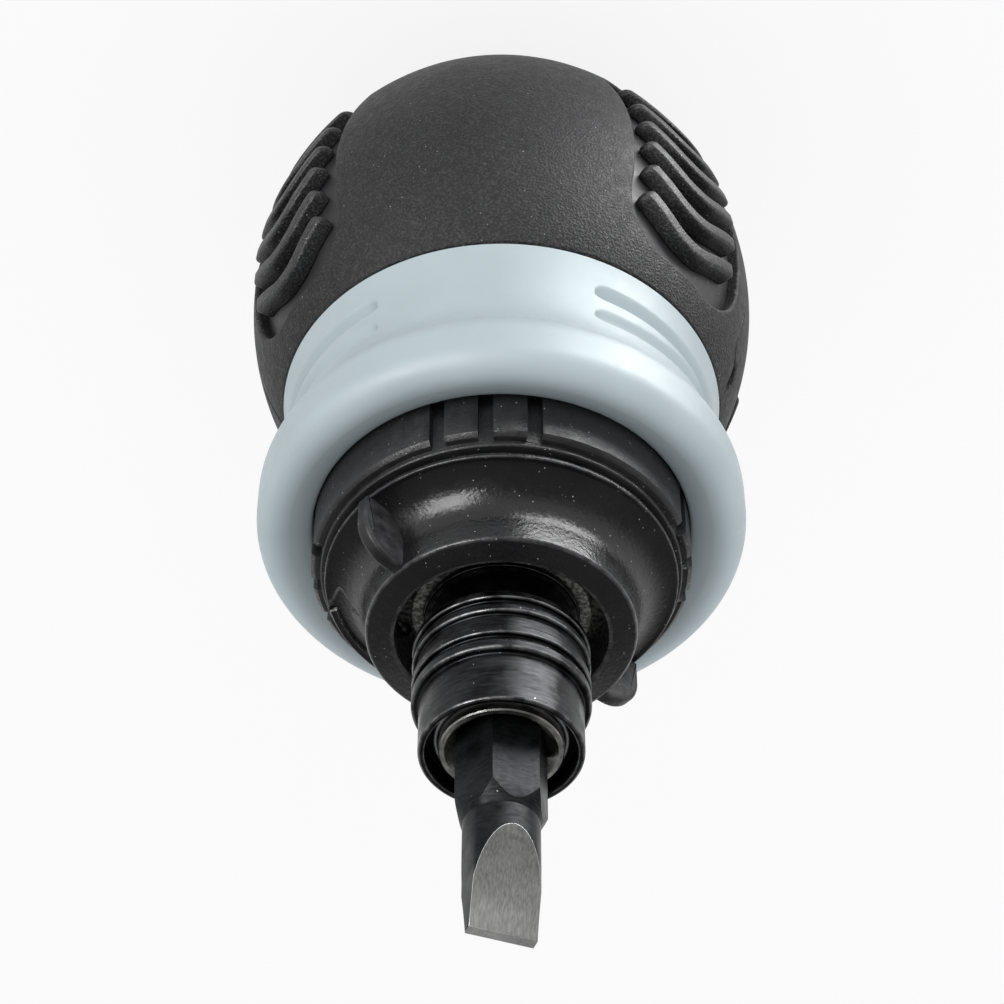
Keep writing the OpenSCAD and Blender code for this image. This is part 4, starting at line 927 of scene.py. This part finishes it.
neck_ring = turned("neck_ring", ring_outline, neck_black, 240, crease=40)
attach(neck_ring, "spindle")

# --- Release sleeve ---
# The sliding sleeve of blackened steel, with three turned grooves in its grip. Its
# edges are rubbed to the metal, and oil and dust lie on it.
sleeve_black = machined("oiled_black_steel", (0.011, 0.011, 0.012), (0.032, 0.033, 0.035), (0.24, 0.5), 5.0,
                        0.006, edge=(0.18, 0.18, 0.18), dust=0.35)
sleeve_outline = eased([
    (5.94, 64.4, 0.12), (6.9, 64.4, 0.25), (6.9, 65.18, 0.16), (6.48, 65.18, 0.1), (6.48, 65.84, 0.1),
    (6.9, 65.84, 0.16), (6.9, 66.56, 0.2), (6.48, 66.56, 0.12), (6.48, 68.0, 0.12), (6.9, 68.0, 0.2),
    (6.9, 68.84, 0.16), (6.48, 68.84, 0.1), (6.48, 69.5, 0.1), (6.9, 69.5, 0.16), (6.9, 70.4, 0.25),
    (6.3, 70.4, 0.15), (6.3, 75.0, 0.24), (5.77, 75.0, 0.16), (5.77, 73.19, 0.08), (5.035, 73.19, 0.08),
    (5.035, 69.39, 0), (4.81, 69.39, 0), (4.81, 68.59, 0), (5.94, 68.59, 0)])
sleeve = turned("sleeve_turned", dense(sleeve_outline, 0.9), sleeve_black, 300, crease=40)
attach(sleeve, "sleeve")
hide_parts("release_sleeve")

# --- Driver bit ---
# A slotted power bit: blackened hex shank, a round neck and two hollow-ground faces
# left bright. Its thin bright edges and its bright tip face are painted highlights.
BIT_CLOCK = 24.6
HEX_TOP = 81.9
NECK_SLIM = 0.955
NECK_BLEND = 1.6
SCALLOPS_FROM = 78
GROUND_FROM = 83.5
GROUND_ONLY_FROM = 87
TIP_FACE_FROM = 91
bit_black = machined("dark_bit_steel", (0.009, 0.0095, 0.010), (0.022, 0.023, 0.025), (0.36, 0.5), 5.0,
                     0.006, dust=0.15)
bit_ground = machined("ground_bit_steel", (0.10, 0.10, 0.099), (0.175, 0.175, 0.172), (0.34, 0.42), 7.0,
                      0.012, around=False, patchy=0.3)
# A pale steel for the bevelled edges of the ground faces and for the tip face: painted highlights.
bit_painted_highlight = machined("painted_highlight_bit_edge", (0.55, 0.55, 0.55), (0.78, 0.78, 0.77), (0.34, 0.44), 4.0, 0.002)
bit = softened("driver_bit_steel", "driver_bit", 0.09, bit_black, 40, 0.02, False)
bit.data.materials.append(bit_ground)
bit.data.materials.append(bit_painted_highlight)
for corner in bit.data.vertices:
    slim = 1 - (1 - NECK_SLIM) * bump_step((corner.co.z / MM - HEX_TOP + NECK_BLEND) / NECK_BLEND)
    corner.co.x *= slim
    corner.co.y *= slim
facing = Vector((-sin(radians(BIT_CLOCK)), -cos(radians(BIT_CLOCK)), 0))
meeting = {}
for face in bit.data.polygons:
    ground_from = GROUND_FROM if face.normal.z > 0.03 else GROUND_ONLY_FROM
    # The tip face takes the painted highlight.
    if face.normal.z > 0.9 and face.center.z > TIP_FACE_FROM * MM:
        face.material_index = 2
    elif abs(face.normal.dot(facing)) > 0.9 and face.center.z > ground_from * MM:
        face.material_index = 1
    for key in face.edge_keys:
        meeting.setdefault(key, []).append(face)
weights = bit.data.attributes.new("bevel_weight_edge", "FLOAT", "EDGE").data
for edge in bit.data.edges:
    sides = meeting[edge.key]
    if len(sides) == 2 and sides[0].normal.angle(sides[1].normal) > radians(12):
        if sides[0].material_index or sides[1].material_index:
            weights[edge.index].value = 1.0
        elif all(SCALLOPS_FROM < bit.data.vertices[i].co.z / MM < HEX_TOP + 0.1 for i in edge.vertices):
            edge.use_edge_sharp = True
# The bevel on the weighted edges takes the painted highlight material.
bright = bit.modifiers.new("painted_highlight_edges", "BEVEL")
bright.width = 0.1 * MM
bright.segments = 2
bright.limit_method = "WEIGHT"
bright.material = 2
bit.modifiers.move(1, 0)
even = bit.modifiers.new("even_normals", "WEIGHTED_NORMAL")
even.mode = "FACE_AREA"
even.keep_sharp = True
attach(bit, "bit")
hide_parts("driver_bit")

# --- End cap ---
# The domed cap that closes the handle and carries the bit magazine, moulded in
# satin black nylon, with a rubber ring round its spigot.
cap_satin = moulded("satin_cap_nylon", (0.012, 0.012, 0.013), (0.018, 0.018, 0.019), (0.4, 0.55), 0.25, 0.02,
                    specular=0.3, dust=0.04, edge=(0.05, 0.05, 0.052))
dome = [(barrel(z), z) for z in (0.45 + 4.4 * k / 24 for k in range(25))]
foot = [(0, 0.0), (7.75, 0.0), (7.95, 0.06), (8.2, 0.2)]
shoulder = [(barrel(5.1) - 0.12, 5.06), (barrel(5.1) - 0.3, 5.1)]
seal_groove = arc((11.37, 6.2), 0.6, -48, -180, 10) + arc((11.37, 6.2), 0.6, 180, 48, 10)
spigot = [(11.8, 5.1)] + seal_groove + [(11.8, 7.0), (11.6, 7.2), (0, 7.2)]
cap = turned("cap_dome", foot + dome + shoulder + spigot, cap_satin, 240, crease=40)
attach(cap, "bit_store")
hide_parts("end_cap")
seal_rubber = moulded("seal_rubber", (0.016, 0.016, 0.016), (0.022, 0.022, 0.022), (0.5, 0.65), 0.3, 0.008,
                      specular=0.3)
dress(seal_rubber, "cap_seal")

# --- Bit magazine and spare bits ---
# A moulded drum with six open pockets, and the six bits that stand in it.
magazine_satin = moulded("satin_magazine_nylon", (0.016, 0.016, 0.017), (0.022, 0.022, 0.024), (0.4, 0.5),
                         0.3, 0.015, specular=0.35, dust=0.02)
dress(magazine_satin, "bit_magazine")
spare_steel = machined("spare_bit_steel", (0.24, 0.24, 0.25), (0.42, 0.42, 0.43), (0.26, 0.4), 7.0, 0.006,
                       around=False)
dress(spare_steel, *("spare_bit_%d" % number for number in range(1, 7)))
